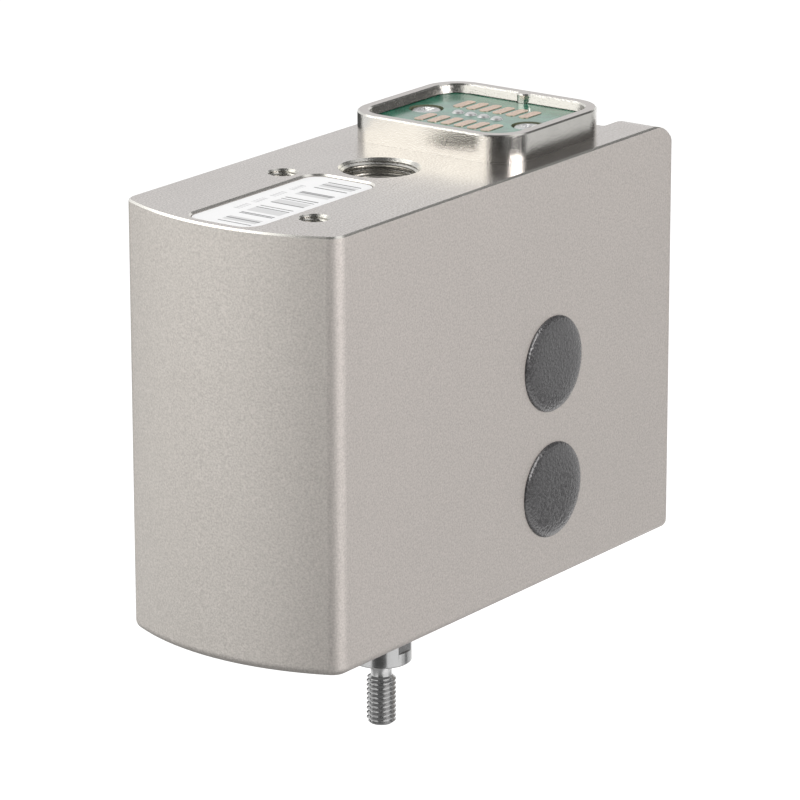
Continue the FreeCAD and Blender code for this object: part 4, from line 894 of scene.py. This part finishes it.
class SENSOR_OT_shaft(bpy.types.Operator):
    """Model the loading shaft with its flats, neck and threaded stud"""

    bl_idname = "sensor.shaft"
    bl_label = "Loading shaft"

    def execute(self, context):
        sizes = context.scene.sensor_sizes
        low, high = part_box("loading_shaft")
        radius, root, crest = sizes.shaft_radius, sizes.stud_root, sizes.stud_radius
        spigot, neck = 4.0 * MM, 1.76 * MM
        end, tip = SHAFT_END, low.z
        ease, fillet, inner = 0.2 * MM, 0.3 * MM, 0.1 * MM
        shaft = turned("threaded_shaft", [
            (neck, NECK_FOOT), (neck, end - fillet), (neck + inner, end - inner), (neck + fillet, end),
            (radius - ease, end), (radius, end + ease),
            (radius, SHOULDER - ease), (radius - ease, SHOULDER), (spigot, SHOULDER),
            (spigot, high.z - ease), (spigot - ease, high.z)], 128)
        flat, height = sizes.flats_width / 2, FLATS_TOP - FLATS_BOTTOM
        for sign in (-1, 1):
            middle = (sign * (flat + radius), 0, (FLATS_TOP + FLATS_BOTTOM) / 2)
            start()
            bpy.ops.mesh.primitive_cube_add(size=2 * radius, location=middle)
            cutter = named("flat_cutter")
            reopen(cutter)
            bpy.ops.transform.resize(value=(1, 1.4, height / (2 * radius)), center_override=middle)
            combine(shaft, close(cutter), "DIFFERENCE")
        pitch = sizes.stud_pitch
        thread = thread_rod("stud_thread", crest, root, pitch, tip - pitch, THREAD_TOP, 72)
        point, over, under = 0.48 * MM, 0.02 * MM, 0.05 * MM
        blank = turned("stud_blank", [
            (crest - point, tip), (crest + over, tip + point), (crest + over, RUNOUT_LOW),
            (neck - under, RUNOUT_HIGH)], 96)
        combine(thread, blank, "INTERSECT")
        combine(shaft, thread, "UNION")
        smooth(shaft)
        keep(shaft, turned_steel("shaft_steel", context.scene.sensor_finishes.steel, 0.16, 0.24), "steel",
             "loading_shaft")
        return {"FINISHED"}


class SENSOR_OT_inside(bpy.types.Operator):
    """Finish the pieces inside the housing"""

    bl_idname = "sensor.inside"
    bl_label = "Inside pieces"

    def execute(self, context):
        colours = context.scene.sensor_finishes
        steel = machined("inside_steel", colours.steel, 0.3)
        for name in ("collar_screws", "load_cell_screws", "load_cell_washers", "locating_dowels",
                     "overload_pin", "shaft_lock_screw"):
            dress_node(name, steel)
        dress_node("load_cell", machined("cell_aluminium", colours.aluminium, 0.34))
        dress_node("strain_gauges", moulded("gauge_foil", FOIL, 0.35))
        black = moulded("black_plastic", BLACK, 0.45)
        for name in ("pin_header", "memory_chip"):
            dress_node(name, black)
        dress_node("wire_socket", moulded("white_plastic", IVORY, 0.45))
        dress_node("signal_cable", moulded("cable_jacket", JACKET, 0.5))
        return {"FINISHED"}


# Studio
CAMERA_PLACE = (0.44772, -0.60552, 0.18971)
CAMERA_TURN = math.radians(36.24)
CAMERA_TILT = math.radians(16.865)
CAMERA_ROLL = math.radians(0.099)
FILM_WIDTH = 36.0
NEAREST, FARTHEST = 0.01, 20.0
WHITE = (1.0, 1.0, 1.0, 1.0)
FLOOR_SIZE, FLOOR_GREY, FLOOR_LIFT = 6.0, (0.82, 0.82, 0.82, 1.0), 0.6

# The point that lamps and cards face, in the middle of the housing
MIDDLE = (0.0, 0.0, -0.035)

# Softboxes: azimuth, elevation, distance, width, height, strength and tone
KEY_SOFTBOX = (-35, 30, 1.0, 1.7, 1.1, 1.6, (1.0, 0.992, 0.935))
RIGHT_SOFTBOX = (94, 14, 0.9, 0.5, 0.8, 6.0, (1.0, 0.96, 0.96))

# Cards: azimuth, elevation, distance, width, height, grey and whether the card lies flat
CARDS = {
    "front_low_card": (39.5, -9.3, 1.115, 1.1, 0.33, 0.03, False),
    "front_foot_card": (29, -22.5, 1.19, 1.15, 0.26, 0.06, False),
    "front_high_card": (41, 18, 1.1, 1.15, 0.67, 0.08, False),
    "right_rear_card": (148, 24, 1.2, 1.2, 0.95, 0.17, False),
    "right_rear_low_card": (148, -22, 1.2, 1.2, 0.95, 0.76, False),
    "under_card": (-45, -68, 0.18, 0.4, 0.4, 0.42, True),
    "ceiling_card": (30, 78, 1.0, 0.75, 0.75, 0.12, False),
    "right_low_card": (91, -9.5, 0.3, 0.45, 0.13, 0.14, False),
    "left_low_card": (-120, -9.5, 0.3, 0.35, 0.13, 0.1, False),
    "shaft_card": (143, -24, 0.33, 0.09, 0.07, 0.22, False),
}


def seen_or_shaded(tree, white, shade):
    """Mix two shaders: white for what the camera, gloss and glass see, shade for soft light."""
    path = tree.nodes.new("ShaderNodeLightPath")
    seen = path.outputs["Is Camera Ray"]
    for ray in ("Is Glossy Ray", "Is Transmission Ray"):
        either = tree.nodes.new("ShaderNodeMath")
        either.operation = "MAXIMUM"
        tree.links.new(seen, either.inputs[0])
        tree.links.new(path.outputs[ray], either.inputs[1])
        seen = either.outputs[0]
    mix = tree.nodes.new("ShaderNodeMixShader")
    tree.links.new(seen, mix.inputs["Fac"])
    tree.links.new(shade, mix.inputs[1])
    tree.links.new(white, mix.inputs[2])
    return mix.outputs["Shader"]


def toward(azimuth, elevation, distance):
    """A place round the object: azimuth 0 is in front, 90 to the right."""
    a, e = math.radians(azimuth), math.radians(elevation)
    return Vector((math.sin(a) * math.cos(e), -math.cos(a) * math.cos(e), math.sin(e))) * distance


def aimed(thing, place, aim):
    """Put a lamp or card in its place and turn it to a point."""
    thing.location = place
    thing.rotation_euler = (Vector(aim) - Vector(place)).to_track_quat("-Z", "Y").to_euler()


class SENSOR_OT_studio(bpy.types.Operator):
    """Set up the white studio, its lights and the camera"""

    bl_idname = "sensor.studio"
    bl_label = "Studio"

    def lamp(self, name, setting, azimuth, elevation, distance, width, height, level, tone):
        """A softbox that the camera doesn't see."""
        data = bpy.data.lights.new(name, "AREA")
        data.shape = "RECTANGLE"
        data.size, data.size_y = width, height
        data.energy = level * setting * math.pi * width * height
        data.color = tone
        light = bpy.data.objects.new(name, data)
        bpy.context.scene.collection.objects.link(light)
        aimed(light, Vector(MIDDLE) + toward(azimuth, elevation, distance), MIDDLE)
        light.visible_camera = False

    def card(self, name, azimuth, elevation, distance, width, height, grey, flat):
        """A grey card that only shows in reflections: it faces the object or lies flat."""
        start()
        bpy.ops.mesh.primitive_plane_add(size=1.0)
        card = named(name)
        card.scale = (width, height, 1.0)
        place = Vector(MIDDLE) + toward(azimuth, elevation, distance)
        aimed(card, place, place - Vector((0, 0, 1)) if flat else MIDDLE)
        material = bpy.data.materials.new(name)
        tree = bare_tree(material)
        glow = tree.nodes.new("ShaderNodeEmission")
        glow.inputs["Color"].default_value = (grey, grey, grey, 1.0)
        tree.links.new(glow.outputs[0], tree.nodes.new("ShaderNodeOutputMaterial").inputs["Surface"])
        card.data.materials.append(material)
        card.visible_camera = card.visible_diffuse = card.visible_shadow = False

    def floor(self, drop):
        """A white floor below the stud, which keeps the object's shadow."""
        start()
        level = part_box("loading_shaft")[0].z - drop
        bpy.ops.mesh.primitive_plane_add(size=FLOOR_SIZE, location=(0, 0, level))
        floor = named("studio_floor")
        material = bpy.data.materials.new("studio_floor")
        tree = bare_tree(material)
        output = tree.nodes.new("ShaderNodeOutputMaterial")
        matt = tree.nodes.new("ShaderNodeBsdfDiffuse")
        matt.inputs["Color"].default_value = FLOOR_GREY
        lift = tree.nodes.new("ShaderNodeEmission")
        lift.inputs["Strength"].default_value = FLOOR_LIFT
        both = tree.nodes.new("ShaderNodeAddShader")
        tree.links.new(matt.outputs[0], both.inputs[0])
        tree.links.new(lift.outputs[0], both.inputs[1])
        tree.links.new(seen_or_shaded(tree, both.outputs[0], matt.outputs[0]), output.inputs["Surface"])
        floor.data.materials.append(material)

    def surround(self, level):
        """White round the object, and soft light of another strength on matt surfaces."""
        world = bpy.data.worlds.new("studio")
        bpy.context.scene.world = world
        tree = bare_tree(world)
        output = tree.nodes.new("ShaderNodeOutputWorld")
        lights = []
        for strength in (1.0, level):
            light = tree.nodes.new("ShaderNodeBackground")
            light.inputs["Color"].default_value = WHITE
            light.inputs["Strength"].default_value = strength
            lights.append(light.outputs[0])
        tree.links.new(seen_or_shaded(tree, *lights), output.inputs["Surface"])

    def camera(self, lens):
        """The camera at the photograph's place and angle."""
        data = bpy.data.cameras.new("camera")
        data.lens = lens
        data.sensor_width = FILM_WIDTH
        data.clip_start, data.clip_end = NEAREST, FARTHEST
        camera = bpy.data.objects.new("camera", data)
        bpy.context.scene.collection.objects.link(camera)
        turn = (Matrix.Rotation(CAMERA_TURN, 4, "Z") @ Matrix.Rotation(math.pi / 2 - CAMERA_TILT, 4, "X")
                @ Matrix.Rotation(-CAMERA_ROLL, 4, "Z"))
        camera.matrix_world = Matrix.Translation(CAMERA_PLACE) @ turn
        bpy.context.scene.camera = camera

    def execute(self, context):
        studio = context.scene.sensor_studio
        context.scene.view_settings.view_transform = "Standard"
        self.surround(studio.surround)
        self.floor(studio.floor_drop)
        self.lamp("key_softbox", studio.key_level, *KEY_SOFTBOX)
        self.lamp("right_softbox", studio.right_level, *RIGHT_SOFTBOX)
        for name, values in CARDS.items():
            self.card(name, *values)
        self.camera(studio.lens)
        return {"FINISHED"}


OPERATORS = (
    SENSOR_OT_studio, SENSOR_OT_housing, SENSOR_OT_threads, SENSOR_OT_collar, SENSOR_OT_board,
    SENSOR_OT_screws, SENSOR_OT_label, SENSOR_OT_plugs, SENSOR_OT_shaft, SENSOR_OT_inside,
)


class SENSOR_PT_pieces(bpy.types.Panel):
    """Lists the steps that dress the force sensor"""

    bl_idname = "SENSOR_PT_pieces"
    bl_label = "Force sensor"
    bl_space_type = "VIEW_3D"
    bl_region_type = "UI"
    bl_category = "Force sensor"

    def draw(self, context):
        for group in GROUPS:
            values = getattr(context.scene, group)
            for name in values.bl_rna.properties.keys():
                if name not in ("rna_type", "name"):
                    self.layout.prop(values, name)
        for operator in OPERATORS:
            self.layout.operator(operator.bl_idname)


GROUPS = {"sensor_sizes": SensorSizes, "sensor_finishes": SensorFinishes, "sensor_studio": SensorStudio}
CLASSES = (*GROUPS.values(), *OPERATORS, SENSOR_PT_pieces)


def register():
    for item in CLASSES:
        bpy.utils.register_class(item)
    for name, group in GROUPS.items():
        setattr(bpy.types.Scene, name, PointerProperty(type=group))


def unregister():
    for name in GROUPS:
        delattr(bpy.types.Scene, name)
    for item in reversed(CLASSES):
        bpy.utils.unregister_class(item)


def main():
    register()
    for operator in OPERATORS:
        getattr(bpy.ops.sensor, operator.bl_idname.split(".")[1])()


if __name__ == "__main__":
    main()
